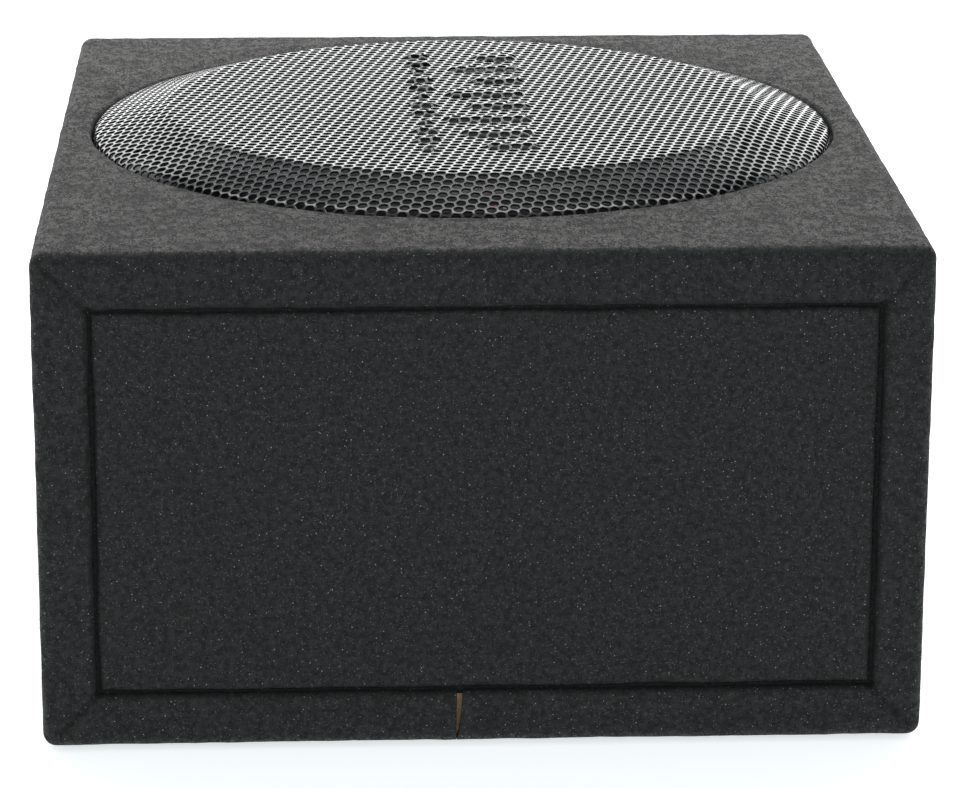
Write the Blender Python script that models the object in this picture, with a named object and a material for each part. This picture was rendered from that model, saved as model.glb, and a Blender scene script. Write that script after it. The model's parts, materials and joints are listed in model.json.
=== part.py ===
"""Powered car subwoofer: a carpeted fibreboard box, a ten-inch driver under a domed grille, and a plate amplifier.

Metres, +Z up. The origin is the middle of the box's underside. The driver fires up, the plain end of the box
faces -Y, and the amplifier's panel faces +Y.
"""

import math

import bmesh
import bpy
from mathutils import Matrix, Vector

# The box, over its carpet.
BOX_WIDTH = 0.306
BOX_DEPTH = 0.350
BOX_HEIGHT = 0.1765
BOARD = 0.016
CARPET = 0.0025
EDGE_RADIUS = 0.0045
GAP = 0.0003
END_RECESS = 0.001
SEAM_X = -0.009
SEAM_WIDTH = 0.0014
END_GROOVE = 0.0012

# The boards' outside, inside the carpet.
WOOD_X = BOX_WIDTH / 2 - CARPET - GAP
WOOD_Y = BOX_DEPTH / 2 - CARPET - GAP
WOOD_LOW = CARPET + GAP
WOOD_HIGH = BOX_HEIGHT - CARPET - GAP
INNER_X = WOOD_X - BOARD
INNER_LOW = WOOD_LOW + BOARD
INNER_HIGH = WOOD_HIGH - BOARD

# The driver. Its heights are measured from the seat under its flange.
DRIVER_Y = 0.014
CUTOUT_RADIUS = 0.1165
REBATE_RADIUS = 0.1418
REBATE_DEPTH = 0.0075
SEAT_Z = WOOD_HIGH - REBATE_DEPTH + GAP
FLANGE_RADIUS = 0.131
FLANGE = 0.0015
SCREW_CIRCLE = 0.1245
DRIVER_SCREWS = 8
BASKET_DEPTH = 0.076
SPOKES = 6
TOP_PLATE = 0.008
MAGNET = 0.022
BACK_PLATE = 0.008
PLATE_RADIUS = 0.058
MAGNET_RADIUS = 0.0625
POLE_RADIUS = 0.0247
COIL_INSIDE = 0.0252
FORMER = 0.0005
WINDING = 0.0008
WINDING_HEIGHT = 0.024
COIL_TOP = -0.043
NECK_Z = -0.0475
CONE_RADIUS = 0.0895
CONE_TOP = 0.0015
SPIDER_Z = -0.0557
ROLL_CENTRE = 0.099
ROLL_RADIUS = 0.009
RUBBER = 0.001

# The grille, measured from the box's top.
GRILLE_RADIUS = 0.1408
GRILLE_SHEET = 0.0009
GRILLE_RISE = 0.0101
PLATEAU_RADIUS = 0.1132
GRILLE_HEM = 0.0065

# The amplifier's panel, in its own frame: x to the right and y up for someone facing it, z out of the box.
PANEL_WIDTH = 0.216
PANEL_HEIGHT = 0.112
PANEL = 0.003
PANEL_SEAL = 0.0012
PANEL_Z = BOX_HEIGHT / 2
END_FACE_Y = WOOD_Y - END_RECESS
PANEL_FACE_Y = END_FACE_Y + GAP + PANEL_SEAL + GAP + PANEL
HATCH_WIDTH = 0.196
HATCH_HEIGHT = 0.092
PANEL_SCREW_X = 0.102
PANEL_SCREW_Y = 0.050
PROUD = 0.0095
BOARD_Z = -0.018
CIRCUIT_BOARD = 0.0016
KNOB_XS = (0.038, 0.062, 0.086)
KNOB_Y = 0.034
KNOB_RADIUS = 0.0075
SHAFT_RADIUS = 0.003
SWITCH_XS = (0.056, 0.082)
SWITCH_Y = 0.008
SWITCH_TRAVEL = 0.004
LED_AT = (0.035, 0.008)
RCA_XS = (0.070, 0.092)
RCA_Y = -0.022
SOCKET_AT = (0.046, -0.022)
SOCKET_SIZE = (0.016, 0.010)
SOCKET_PROUD = 0.0065
POWER_AT = (-0.003, -0.026)
POWER_SIZE = (0.042, 0.014)
POWER_WAYS = 3
POWER_PITCH = 0.0135
FUSE_AT = (-0.003, 0.012)
FUSE_SIZE = (0.0191, 0.0051)
HOLDER_SIZE = (0.025, 0.011)
FIN_COUNT = 12
FIN_X = (-0.100, -0.036)
FIN_HALF_HEIGHT = 0.040
FIN = 0.0018

MATERIALS = {
    "carpet": ((0.028, 0.030, 0.031), 0.95, 0.0),
    "fibreboard": ((0.36, 0.23, 0.13), 0.85, 0.0),
    "grille_steel": ((0.030, 0.031, 0.033), 0.35, 0.6),
    "basket_steel": ((0.020, 0.020, 0.021), 0.45, 0.7),
    "plated_steel": ((0.50, 0.50, 0.50), 0.35, 1.0),
    "ferrite": ((0.035, 0.034, 0.034), 0.70, 0.1),
    "rubber": ((0.014, 0.014, 0.015), 0.60, 0.0),
    "cone_paper": ((0.025, 0.025, 0.026), 0.75, 0.0),
    "spider_cloth": ((0.42, 0.30, 0.10), 0.90, 0.0),
    "copper": ((0.60, 0.30, 0.15), 0.35, 1.0),
    "black_plastic": ((0.018, 0.018, 0.019), 0.50, 0.0),
    "red_plastic": ((0.45, 0.02, 0.02), 0.45, 0.0),
    "panel_metal": ((0.022, 0.023, 0.025), 0.40, 0.8),
    "foam": ((0.03, 0.03, 0.03), 0.95, 0.0),
    "circuit_board": ((0.02, 0.11, 0.05), 0.50, 0.0),
    "nickel": ((0.62, 0.60, 0.56), 0.25, 1.0),
    "black_steel": ((0.03, 0.03, 0.03), 0.40, 0.9),
    "fuse_plastic": ((0.65, 0.45, 0.05), 0.30, 0.0),
    "lens": ((0.08, 0.20, 0.65), 0.15, 0.0),
}


# Tools that add a closed shape to a bmesh.


def block(shape, low, high):
    """A box between two corners."""
    size = Vector(high) - Vector(low)
    middle = (Vector(high) + Vector(low)) / 2
    place = Matrix.Translation(middle) @ Matrix.Diagonal((*size, 1))
    bmesh.ops.create_cube(shape, size=1, matrix=place)


def prism(shape, outline, low, high):
    """An outline in x and y, drawn up from low to high."""
    corners = [shape.verts.new((x, y, low)) for x, y in outline]
    face = shape.faces.new(corners)
    made = bmesh.ops.extrude_face_region(shape, geom=[face])["geom"]
    moved = [v for v in made if isinstance(v, bmesh.types.BMVert)]
    bmesh.ops.translate(shape, verts=moved, vec=(0, 0, high - low))


def circle(radius, steps, at=(0, 0)):
    """The points of a circle's outline."""
    turns = [2 * math.pi * i / steps for i in range(steps)]
    return [(at[0] + radius * math.cos(a), at[1] + radius * math.sin(a)) for a in turns]


def rectangle(width, height, at=(0, 0), radius=0.0, steps=3):
    """The points of a rectangle's outline, with round corners if it has a radius."""
    x, y = width / 2 - radius, height / 2 - radius
    corners = ((x, y, 0), (-x, y, 1), (-x, -y, 2), (x, -y, 3))
    points = []
    for cx, cy, quarter in corners:
        for i in range(steps + 1 if radius else 1):
            turn = math.pi / 2 * (quarter + i / steps)
            points.append((at[0] + cx + radius * math.cos(turn), at[1] + cy + radius * math.sin(turn)))
    return points


def arc(centre, radius, start, end, steps):
    """Points on an arc, between two angles in degrees."""
    turns = [math.radians(start + (end - start) * i / steps) for i in range(steps + 1)]
    return [(centre[0] + radius * math.cos(a), centre[1] + radius * math.sin(a)) for a in turns]


def turned(shape, profile, steps, ring=True, at=(0, 0, 0), start=0.0, sweep=360.0):
    """A profile of (radius, height) points, spun about z. A ring's profile closes on itself, and any other
    begins and ends on the axis. A sweep under 360 degrees gets flat ends."""
    whole = sweep >= 360
    begin = Matrix.Translation(at) @ Matrix.Rotation(math.radians(start), 4, "Z")
    verts = [shape.verts.new(begin @ Vector((r, 0, z))) for r, z in profile]
    pairs = list(zip(verts, verts[1:] + verts[:1]))
    edges = [shape.edges.new(pair) for pair in (pairs if ring else pairs[:-1])]
    ends = [shape.faces.new(verts)] if not whole else []
    made = bmesh.ops.spin(
        shape,
        geom=edges + ends,
        cent=at,
        axis=(0, 0, 1),
        angle=math.radians(sweep),
        steps=steps,
        use_merge=whole,
    )
    if not ring:
        bmesh.ops.remove_doubles(shape, verts=list(shape.verts), dist=1e-6)
    return made


# Tools that make and cut objects.


def material(name):
    """The named material, made the first time it is asked for."""
    found = bpy.data.materials.get(name)
    if found:
        return found
    colour, roughness, metallic = MATERIALS[name]
    made = bpy.data.materials.new(name)
    made.use_nodes = True
    surface = made.node_tree.nodes["Principled BSDF"]
    surface.inputs["Base Color"].default_value = (*colour, 1)
    surface.inputs["Roughness"].default_value = roughness
    surface.inputs["Metallic"].default_value = metallic
    return made


def made_object(name, data, parent, at=(0, 0, 0)):
    """An object in the scene, placed in its parent's frame."""
    made = bpy.data.objects.new(name, data)
    bpy.context.scene.collection.objects.link(made)
    made.parent = parent
    made.location = at
    return made


def solid(name, shape, slot, parent=None, at=(0, 0, 0), smooth=False):
    """A node made from a bmesh."""
    bmesh.ops.recalc_face_normals(shape, faces=list(shape.faces))
    mesh = bpy.data.meshes.new(name)
    shape.to_mesh(mesh)
    shape.free()
    mesh.materials.append(material(slot))
    if smooth:
        mesh.shade_smooth()
        mesh.set_sharp_from_angle(angle=math.radians(35))
    return made_object(name, mesh, parent, at)


def helper(owner, operation, shape):
    """A hidden shape that a Boolean cuts from its owner or joins to it."""
    count = sum(m.type == "BOOLEAN" for m in owner.modifiers) + 1
    name = f"{owner.name}_{operation.lower()}_{count}"
    hidden = solid(name, shape, "black_plastic", owner.parent, owner.location)
    hidden.hide_render = True
    hidden.display_type = "WIRE"
    boolean = owner.modifiers.new(operation.title(), "BOOLEAN")
    boolean.operation = operation
    boolean.object = hidden
    return hidden


def cut(owner, shape):
    helper(owner, "DIFFERENCE", shape)


def join(owner, shape):
    helper(owner, "UNION", shape)


def soften(owner, width, segments=1, angle=40):
    """Bevels the object's sharp edges."""
    bevel = owner.modifiers.new("Bevel", "BEVEL")
    bevel.width = width
    bevel.segments = segments
    bevel.limit_method = "ANGLE"
    bevel.angle_limit = math.radians(angle)


def wire(name, route, diameter, slot, parent):
    """A round lead along a smooth curve through the route's points."""
    points = smooth_route([Vector(p) for p in route], diameter * 2.5)
    curve = bpy.data.curves.new(name, "CURVE")
    curve.dimensions = "3D"
    curve.bevel_depth = diameter / 2
    curve.bevel_resolution = 2
    curve.use_fill_caps = True
    spline = curve.splines.new("POLY")
    spline.points.add(len(points) - 1)
    for point, place in zip(spline.points, points):
        point.co = (*place, 1)
    curve.materials.append(material(slot))
    return made_object(name, curve, parent)


def smooth_route(points, spacing):
    """Points about one spacing apart on a Catmull-Rom curve through the given points."""
    padded = [points[0] * 2 - points[1], *points, points[-1] * 2 - points[-2]]
    fine = []
    for p, q, r, s in zip(padded, padded[1:], padded[2:], padded[3:]):
        pieces = max(1, round((r - q).length / spacing))
        for i in range(pieces):
            t = i / pieces
            bend = (2 * p - 5 * q + 4 * r - s) * t**2 + (3 * q - p - 3 * r + s) * t**3
            fine.append(q + ((r - p) * t + bend) / 2)
    return [*fine, points[-1]]


# The enclosure.


def make_boards():
    """Four walls and, let in between them, two ends."""
    for name, low, high in (
        ("bottom_panel", WOOD_LOW, INNER_LOW),
        ("top_panel", INNER_HIGH, WOOD_HIGH),
    ):
        shape = bmesh.new()
        block(shape, (-WOOD_X, -WOOD_Y, low), (WOOD_X, WOOD_Y, high))
        solid(name, shape, "fibreboard")
    for name, side in (("left_panel", -1), ("right_panel", 1)):
        xs = sorted((side * WOOD_X, side * INNER_X))
        shape = bmesh.new()
        block(shape, (xs[0], -WOOD_Y, INNER_LOW + GAP), (xs[1], WOOD_Y, INNER_HIGH - GAP))
        solid(name, shape, "fibreboard")
    for name, side in (("front_panel", -1), ("rear_panel", 1)):
        ys = sorted((side * END_FACE_Y, side * (END_FACE_Y - BOARD)))
        shape = bmesh.new()
        block(shape, (GAP - INNER_X, ys[0], INNER_LOW + GAP), (INNER_X - GAP, ys[1], INNER_HIGH - GAP))
        solid(name, shape, "fibreboard")


def cut_driver_seat():
    """The top panel's round hole, the rebate round it, and the pilot holes for the driver's screws."""
    shape = bmesh.new()
    turned(
        shape,
        [
            (0, INNER_HIGH - BOARD),
            (CUTOUT_RADIUS, INNER_HIGH - BOARD),
            (CUTOUT_RADIUS, WOOD_HIGH - REBATE_DEPTH),
            (REBATE_RADIUS, WOOD_HIGH - REBATE_DEPTH),
            (REBATE_RADIUS, WOOD_HIGH + BOARD),
            (0, WOOD_HIGH + BOARD),
        ],
        64,
        ring=False,
        at=(0, DRIVER_Y, 0),
    )
    top = bpy.data.objects["top_panel"]
    cut(top, shape)
    pilots = bmesh.new()
    for x, y in screw_places():
        prism(pilots, circle(0.0023, 8, (x, y + DRIVER_Y)), INNER_HIGH + 0.001, WOOD_HIGH)
    cut(top, pilots)


def cut_hatch():
    """The amplifier's hatch in the rear panel, and the pilot holes for its screws."""
    rear = bpy.data.objects["rear_panel"]
    x, z = HATCH_WIDTH / 2, HATCH_HEIGHT / 2
    shape = bmesh.new()
    block(shape, (-x, WOOD_Y - 2 * BOARD, PANEL_Z - z), (x, WOOD_Y + BOARD, PANEL_Z + z))
    cut(rear, shape)
    pilots = bmesh.new()
    for px, py in panel_screw_places():
        side = 0.0017
        low = (px - side, END_FACE_Y - 0.0135, PANEL_Z + py - side)
        high = (px + side, WOOD_Y + BOARD, PANEL_Z + py + side)
        block(pilots, low, high)
    cut(rear, pilots)


def make_carpet_wrap():
    """The carpet round the four walls, folded over onto both ends, with its seam along the underside."""
    x, y = BOX_WIDTH / 2, BOX_DEPTH / 2
    shape = bmesh.new()
    block(shape, (-x, -y, 0), (x, y, BOX_HEIGHT))
    wrap = solid("carpet_wrap", shape, "carpet")
    soften(wrap, EDGE_RADIUS, 2)
    inside = bmesh.new()
    block(inside, (CARPET - x, CARPET - y, CARPET), (x - CARPET, y - CARPET, BOX_HEIGHT - CARPET))
    cut(wrap, inside)
    ends = bmesh.new()
    block(ends, (-INNER_X, -y - BOARD, INNER_LOW), (INNER_X, y + BOARD, INNER_HIGH))
    cut(wrap, ends)
    opening = bmesh.new()
    prism(opening, circle(REBATE_RADIUS, 64, (0, DRIVER_Y)), BOX_HEIGHT - BOARD, BOX_HEIGHT + BOARD)
    cut(wrap, opening)
    seam = bmesh.new()
    half = SEAM_WIDTH / 2
    block(seam, (SEAM_X - half, -y - BOARD, -BOARD), (SEAM_X + half, y + BOARD, INNER_LOW + GAP))
    cut(wrap, seam)


def make_end_carpets():
    """A carpet on each end, with a hole for the amplifier's panel in the rear one."""
    x = INNER_X - END_GROOVE
    low, high = INNER_LOW + END_GROOVE, INNER_HIGH - END_GROOVE
    for name, side in (("front_carpet", -1), ("rear_carpet", 1)):
        ys = sorted((side * (END_FACE_Y + GAP), side * (END_FACE_Y + GAP + CARPET)))
        shape = bmesh.new()
        block(shape, (-x, ys[0], low), (x, ys[1], high))
        soften(solid(name, shape, "carpet"), 0.0008)
    hole = bmesh.new()
    hx, hz = PANEL_WIDTH / 2 + 0.001, PANEL_HEIGHT / 2 + 0.001
    block(hole, (-hx, WOOD_Y - BOARD, PANEL_Z - hz), (hx, WOOD_Y + BOARD, PANEL_Z + hz))
    cut(bpy.data.objects["rear_carpet"], hole)


# The driver.


def screw_places():
    """Where the driver's screws stand round its axis."""
    return circle(SCREW_CIRCLE, DRIVER_SCREWS)


def make_basket(driver):
    """The stamped frame: a flange, a bowl with windows between its spokes, a shelf for the spider, and a floor."""
    floor = -BASKET_DEPTH
    sheet = 0.002
    under = [
        (FLANGE_RADIUS, 0),
        (0.1155, 0),
        (0.1130, -0.0085),
        (0.0735, -0.0500),
        (0.0700, -0.0605),
        (0.0690, floor),
        (0.0320, floor),
    ]
    over = [
        (0.0320, floor + sheet),
        (0.0610, floor + sheet),
        (0.0620, -0.0565),
        (0.0690, -0.0560),
        (0.0715, -0.0480),
        (0.1108, -0.0070),
        (0.1125, -0.0020),
        (0.1080, 0),
        (0.1080, FLANGE),
        (FLANGE_RADIUS, FLANGE),
    ]
    shape = bmesh.new()
    turned(shape, under + over, 40)
    basket = solid("driver_basket", shape, "basket_steel", driver, smooth=True)
    windows = bmesh.new()
    for i in range(SPOKES):
        middle = 360 / SPOKES * i
        upper = [(0.070, -0.044), (0.120, -0.044), (0.120, -0.0145), (0.070, -0.0145)]
        turned(windows, upper, 4, start=middle - 19, sweep=38)
        lower = [(0.056, -0.0710), (0.080, -0.0710), (0.080, -0.0610), (0.056, -0.0610)]
        turned(windows, lower, 3, start=middle - 15, sweep=30)
    cut(basket, windows)
    holes = bmesh.new()
    for place in screw_places():
        prism(holes, circle(0.0025, 8, place), -0.004, 0.004)
    cut(basket, holes)


def make_motor(driver):
    """Top plate, ring magnet, and the back plate with its vented pole."""
    top = -BASKET_DEPTH - GAP
    shape = bmesh.new()
    turned(shape, ring_profile(COIL_INSIDE + 0.0018, PLATE_RADIUS, top - TOP_PLATE, top), 48)
    solid("top_plate", shape, "plated_steel", driver, smooth=True)
    high = top - TOP_PLATE - GAP
    low = high - MAGNET
    shape = bmesh.new()
    turned(shape, ring_profile(0.030, MAGNET_RADIUS, low, high, 0.001), 48)
    solid("magnet", shape, "ferrite", driver, smooth=True)
    back = low - GAP
    vent = 0.008
    shape = bmesh.new()
    turned(
        shape,
        [
            (vent, back - BACK_PLATE),
            (PLATE_RADIUS - 0.001, back - BACK_PLATE),
            (PLATE_RADIUS, back - BACK_PLATE + 0.001),
            (PLATE_RADIUS, back),
            (POLE_RADIUS, back),
            (POLE_RADIUS, top),
            (vent, top),
        ],
        48,
    )
    solid("yoke", shape, "plated_steel", driver, smooth=True)


def ring_profile(inside, outside, low, high, chamfer=0.0005):
    """A ring's section, with its outer corners chamfered."""
    return [
        (inside, low),
        (outside - chamfer, low),
        (outside, low + chamfer),
        (outside, high - chamfer),
        (outside - chamfer, high),
        (inside, high),
    ]


def make_moving_parts(driver):
    """Voice coil, cone and dust cap, which travel along the driver's axis."""
    former = COIL_INSIDE + FORMER
    low = -BASKET_DEPTH - TOP_PLATE / 2 - WINDING_HEIGHT / 2
    shape = bmesh.new()
    turned(
        shape,
        [
            (COIL_INSIDE, low),
            (former + WINDING, low),
            (former + WINDING, low + WINDING_HEIGHT),
            (former, low + WINDING_HEIGHT),
            (former, COIL_TOP),
            (COIL_INSIDE, COIL_TOP),
        ],
        40,
    )
    solid("voice_coil", shape, "copper", driver, smooth=True)
    collar = former + 0.0005
    paper = 0.001
    face = [(r, cone_height(r)) for r in (0.0268, 0.040, 0.060, 0.0855)]
    back = [(r + 0.0006, z - paper) for r, z in reversed(face)]
    rim = [(CONE_RADIUS, CONE_TOP), (CONE_RADIUS, CONE_TOP - paper)]
    shape = bmesh.new()
    turned(shape, [(collar, NECK_Z)] + face + rim + back + [(collar, NECK_Z - 0.002)], 40)
    solid("cone", shape, "cone_paper", driver, smooth=True)
    cap = 0.046
    foot = cone_height(cap) + GAP + paper
    crown = foot + 0.012
    dome = [(cap * math.cos(a), foot + (crown - foot) * math.sin(a)) for a in quarter_turn(4)]
    inner = [(max(0, r - 0.0012), z - paper) for r, z in dome[:-1]]
    shape = bmesh.new()
    turned(shape, [(0, crown - paper)] + inner[::-1] + dome[:-1] + [(0, crown)], 32, ring=False)
    solid("dust_cap", shape, "cone_paper", driver, smooth=True)


def quarter_turn(steps):
    """Angles from 0 to a quarter turn."""
    return [math.pi / 2 * i / steps for i in range(steps + 1)]


def cone_height(radius):
    """The height of the cone's face, which curves from the neck up to the rim."""
    share = (radius - 0.0268) / (0.0855 - 0.0268)
    return NECK_Z + (CONE_TOP - NECK_Z) * (1.15 * share - 0.15 * share**2)


def make_suspension(driver):
    """The rubber half-roll round the cone, and the corrugated spider on the voice coil."""
    foot = FLANGE + GAP
    crest = arc((ROLL_CENTRE, foot), ROLL_RADIUS + RUBBER / 2, 0, 180, 8)
    hollow = arc((ROLL_CENTRE, foot), ROLL_RADIUS - RUBBER / 2, 180, 0, 8)
    crest[0] = (crest[0][0], foot + RUBBER)
    crest[-1] = (crest[-1][0], foot + RUBBER)
    inner = CONE_RADIUS - 0.0035
    outer = 0.1165
    landing = [(outer, foot), (outer, foot + RUBBER)]
    profile = landing + crest + [(inner, foot + RUBBER), (inner, foot)] + hollow
    shape = bmesh.new()
    turned(shape, profile, 44)
    solid("surround", shape, "rubber", driver, smooth=True)
    shape = bmesh.new()
    turned(shape, spider_profile(), 28)
    solid("spider", shape, "spider_cloth", driver)
    low = foot + RUBBER + GAP
    shape = bmesh.new()
    turned(shape, ring_profile(0.1100, 0.1185, low, low + 0.004, 0.001), 48)
    solid("trim_gasket", shape, "foam", driver, smooth=True)


def spider_profile():
    """A zigzag of four waves between a collar on the coil and a foot on the basket's shelf."""
    cloth = 0.0006
    first, last, waves, height = 0.030, 0.060, 4, 0.0017
    zigzag = []
    for i in range(2 * waves):
        r = first + (last - first) * (i + 0.5) / (2 * waves)
        zigzag.append((r, SPIDER_Z + height * (1 if i % 2 else -1)))
    collar = COIL_INSIDE + FORMER + 0.0005
    upper = [(collar, SPIDER_Z)] + zigzag + [(0.0625, SPIDER_Z), (0.0680, SPIDER_Z)]
    lower = [(r, z + cloth) for r, z in upper]
    return upper + lower[::-1]


def make_terminals(driver):
    """The terminal strip on the spoke nearest the amplifier, its two posts, and the two leads to the cone."""
    near, far = 0.1064, 0.1086
    shape = bmesh.new()
    block(shape, (-0.024, near, -0.0365), (0.024, far, -0.0165))
    soften(solid("terminal_strip", shape, "black_plastic", driver), 0.0006)
    for name, side, slot in (
        ("positive", 1, "red_plastic"),
        ("negative", -1, "black_plastic"),
    ):
        shape = bmesh.new()
        post = ring_profile(0.0012, 0.0036, far + GAP, 0.1158, 0.0006)
        turned(shape, post, 12)
        bmesh.ops.rotate(shape, verts=list(shape.verts), matrix=Matrix.Rotation(-math.pi / 2, 3, "X"))
        solid(f"terminal_{name}", shape, slot, driver, (side * 0.010, 0, -0.0265), smooth=True)
        lead = [
            (side * 0.0218, near - GAP, -0.0285),
            (side * 0.0222, near - 0.008, -0.0300),
            (side * 0.0220, 0.085, -0.0370),
            (side * 0.0190, 0.062, -0.0440),
            (side * 0.0150, 0.045, -0.0430),
            (side * 0.0120, 0.036, -0.0415),
        ]
        wire(f"tinsel_lead_{name}", lead, 0.0016, "copper", driver)


def make_driver_screws(driver):
    """Wood screws with pan heads, down through the flange."""
    head, shank = 0.0042, 0.0020
    foot = FLANGE + GAP
    profile = [
        (0, -0.0065),
        (shank * 0.4, -0.0065),
        (shank, -0.0040),
        (shank, foot),
        (head, foot),
        (head, foot + 0.0014),
        (head * 0.6, foot + 0.0028),
        (0.0013, foot + 0.0028),
        (0, foot + 0.0012),
    ]
    for i, (x, y) in enumerate(screw_places()):
        shape = bmesh.new()
        turned(shape, profile, 10, ring=False)
        solid(f"driver_screw_{i + 1}", shape, "black_steel", driver, (x, y, 0), smooth=True)


def make_grille(driver):
    """A ring in the rebate, and the domed sheet that is crimped round it."""
    inside = FLANGE_RADIUS + 0.0015
    outside = GRILLE_RADIUS - GRILLE_SHEET - 0.0004
    shape = bmesh.new()
    turned(shape, ring_profile(inside, outside, 0, WOOD_HIGH - SEAT_Z, 0.0006), 64)
    solid("grille_ring", shape, "black_plastic", driver, smooth=True)
    top = BOX_HEIGHT - SEAT_Z
    outer = [
        (GRILLE_RADIUS, top - GRILLE_HEM),
        (GRILLE_RADIUS, top - 0.0008),
        (GRILLE_RADIUS - 0.0010, top + 0.0013),
        (GRILLE_RADIUS - 0.0034, top + 0.0030),
        (PLATEAU_RADIUS + 0.0012, top + GRILLE_RISE - 0.0005),
        (PLATEAU_RADIUS - 0.0012, top + GRILLE_RISE),
    ]
    inner = [
        (GRILLE_RADIUS - GRILLE_SHEET, top - GRILLE_HEM),
        (GRILLE_RADIUS - GRILLE_SHEET, top - 0.0010),
        (GRILLE_RADIUS - 0.0017, top + 0.0007),
        (GRILLE_RADIUS - 0.0038, top + 0.0021),
        (PLATEAU_RADIUS + 0.0010, top + GRILLE_RISE - 0.0014),
        (PLATEAU_RADIUS - 0.0013, top + GRILLE_RISE - GRILLE_SHEET),
    ]
    centre = [(0, top + GRILLE_RISE), (0, top + GRILLE_RISE - GRILLE_SHEET)]
    shape = bmesh.new()
    turned(shape, centre[:1] + outer[::-1] + inner + centre[1:], 64, ring=False)
    solid("grille_mesh", shape, "grille_steel", driver, smooth=True)


# The amplifier, in the panel's frame.


def panel_screw_places():
    return [(x * PANEL_SCREW_X, y * PANEL_SCREW_Y) for x in (-1, 1) for y in (-1, 1)]


def make_panel(amplifier):
    """The cast panel with its cooling fins, and the foam seal behind it."""
    shape = bmesh.new()
    prism(shape, rectangle(PANEL_WIDTH, PANEL_HEIGHT, radius=0.004), -PANEL, 0)
    panel = solid("amp_panel", shape, "panel_metal", amplifier)
    fins = bmesh.new()
    pitch = (FIN_X[1] - FIN_X[0]) / (FIN_COUNT - 1)
    for i in range(FIN_COUNT):
        x = FIN_X[0] + pitch * i
        low = (x - FIN / 2, -FIN_HALF_HEIGHT, -PANEL / 2)
        block(fins, low, (x + FIN / 2, FIN_HALF_HEIGHT, PROUD))
    join(panel, fins)
    holes = bmesh.new()
    deep, out = -2 * PANEL, PANEL
    for place in panel_screw_places():
        prism(holes, circle(0.0022, 8, place), deep, out)
    for x in KNOB_XS:
        prism(holes, circle(0.0036, 12, (x, KNOB_Y)), deep, out)
    for x in SWITCH_XS:
        prism(holes, rectangle(0.009, 0.004, (x, SWITCH_Y)), deep, out)
    prism(holes, circle(0.0019, 10, LED_AT), deep, out)
    for x in RCA_XS:
        prism(holes, circle(0.0054, 16, (x, RCA_Y)), deep, out)
    for size, at in ((SOCKET_SIZE, SOCKET_AT), (POWER_SIZE, POWER_AT), (HOLDER_SIZE, FUSE_AT)):
        prism(holes, rectangle(size[0] + 2 * GAP, size[1] + 2 * GAP, at), deep, out)
    cut(panel, holes)
    back = -PANEL - GAP
    shape = bmesh.new()
    prism(shape, rectangle(PANEL_WIDTH - 0.002, PANEL_HEIGHT - 0.002), back - PANEL_SEAL, back)
    seal = solid("amp_seal", shape, "foam", amplifier)
    window = bmesh.new()
    prism(window, rectangle(HATCH_WIDTH + 0.002, HATCH_HEIGHT + 0.002), back - PANEL, back + PANEL)
    for place in panel_screw_places():
        prism(window, circle(0.0022, 8, place), back - PANEL, back + PANEL)
    cut(seal, window)


def make_boards_of_amplifier(amplifier):
    """The control board with its pots and switch bodies, and the power board with what is soldered to it."""
    low, high = BOARD_Z, BOARD_Z + CIRCUIT_BOARD
    shape = bmesh.new()
    block(shape, (0.0245, -0.040, low), (0.0965, 0.0435, high))
    control = solid("control_board", shape, "circuit_board", amplifier)
    parts = bmesh.new()
    sunk = high - 0.0004
    for x in KNOB_XS:
        prism(parts, rectangle(0.012, 0.012, (x, KNOB_Y)), sunk, -PANEL - 0.0005)
    for x in SWITCH_XS:
        prism(parts, rectangle(0.013, 0.007, (x, SWITCH_Y)), sunk, -0.0070)
    join(control, parts)
    bores = bmesh.new()
    for x in KNOB_XS:
        prism(bores, circle(SHAFT_RADIUS + 0.0004, 12, (x, KNOB_Y)), -0.0105, 0)
    cut(control, bores)
    shape = bmesh.new()
    block(shape, (-0.0965, -0.0435, low), (0.0225, 0.0435, high))
    power = solid("amp_board", shape, "circuit_board", amplifier)
    parts = bmesh.new()
    for i in range(4):
        prism(parts, rectangle(0.0100, 0.0045, (-0.088 + 0.0165 * i, 0.030)), sunk, -PANEL - 0.0006)
    for x in (-0.049, -0.029):
        prism(parts, circle(0.0090, 20, (x, 0.021)), low - 0.025, low + 0.0004)
    coil = arc((0.0105, low - 0.0042), 0.0045, 0, 330, 11)
    turned(parts, coil, 24, at=(-0.070, 0.005, 0))
    join(power, parts)


def make_knobs(amplifier):
    """Three fluted knobs, each on the shaft that turns in its pot."""
    for name, x in zip(("gain_knob", "lowpass_knob", "bass_boost_knob"), KNOB_XS):
        flutes = 24
        outline = []
        for i, (px, py) in enumerate(circle(KNOB_RADIUS, 2 * flutes)):
            share = 1.0 if i % 2 else 0.93
            outline.append((px * share, py * share))
        shape = bmesh.new()
        prism(shape, outline, 0.0005, PROUD)
        knob = solid(name, shape, "black_plastic", amplifier, (x, KNOB_Y, 0))
        shaft = bmesh.new()
        prism(shaft, circle(SHAFT_RADIUS, 12), -0.0098, 0.0030)
        join(knob, shaft)
        pointer = bmesh.new()
        block(pointer, (-0.0006, 0.0020, PROUD - 0.0006), (0.0006, 0.0090, PROUD + 0.001))
        cut(knob, pointer)


def make_switches(amplifier):
    """Two slide switches at the left end of their travel, each with a foot behind the panel."""
    for name, x in zip(("auto_on_switch", "phase_switch"), SWITCH_XS):
        shape = bmesh.new()
        prism(shape, rectangle(0.0034, 0.0034), -PANEL - 0.001, 0.0030)
        lever = solid(name, shape, "black_plastic", amplifier, (x - SWITCH_TRAVEL / 2, SWITCH_Y, 0))
        foot = bmesh.new()
        prism(foot, rectangle(0.0060, 0.0050), -0.0066, -PANEL - GAP)
        join(lever, foot)


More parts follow.
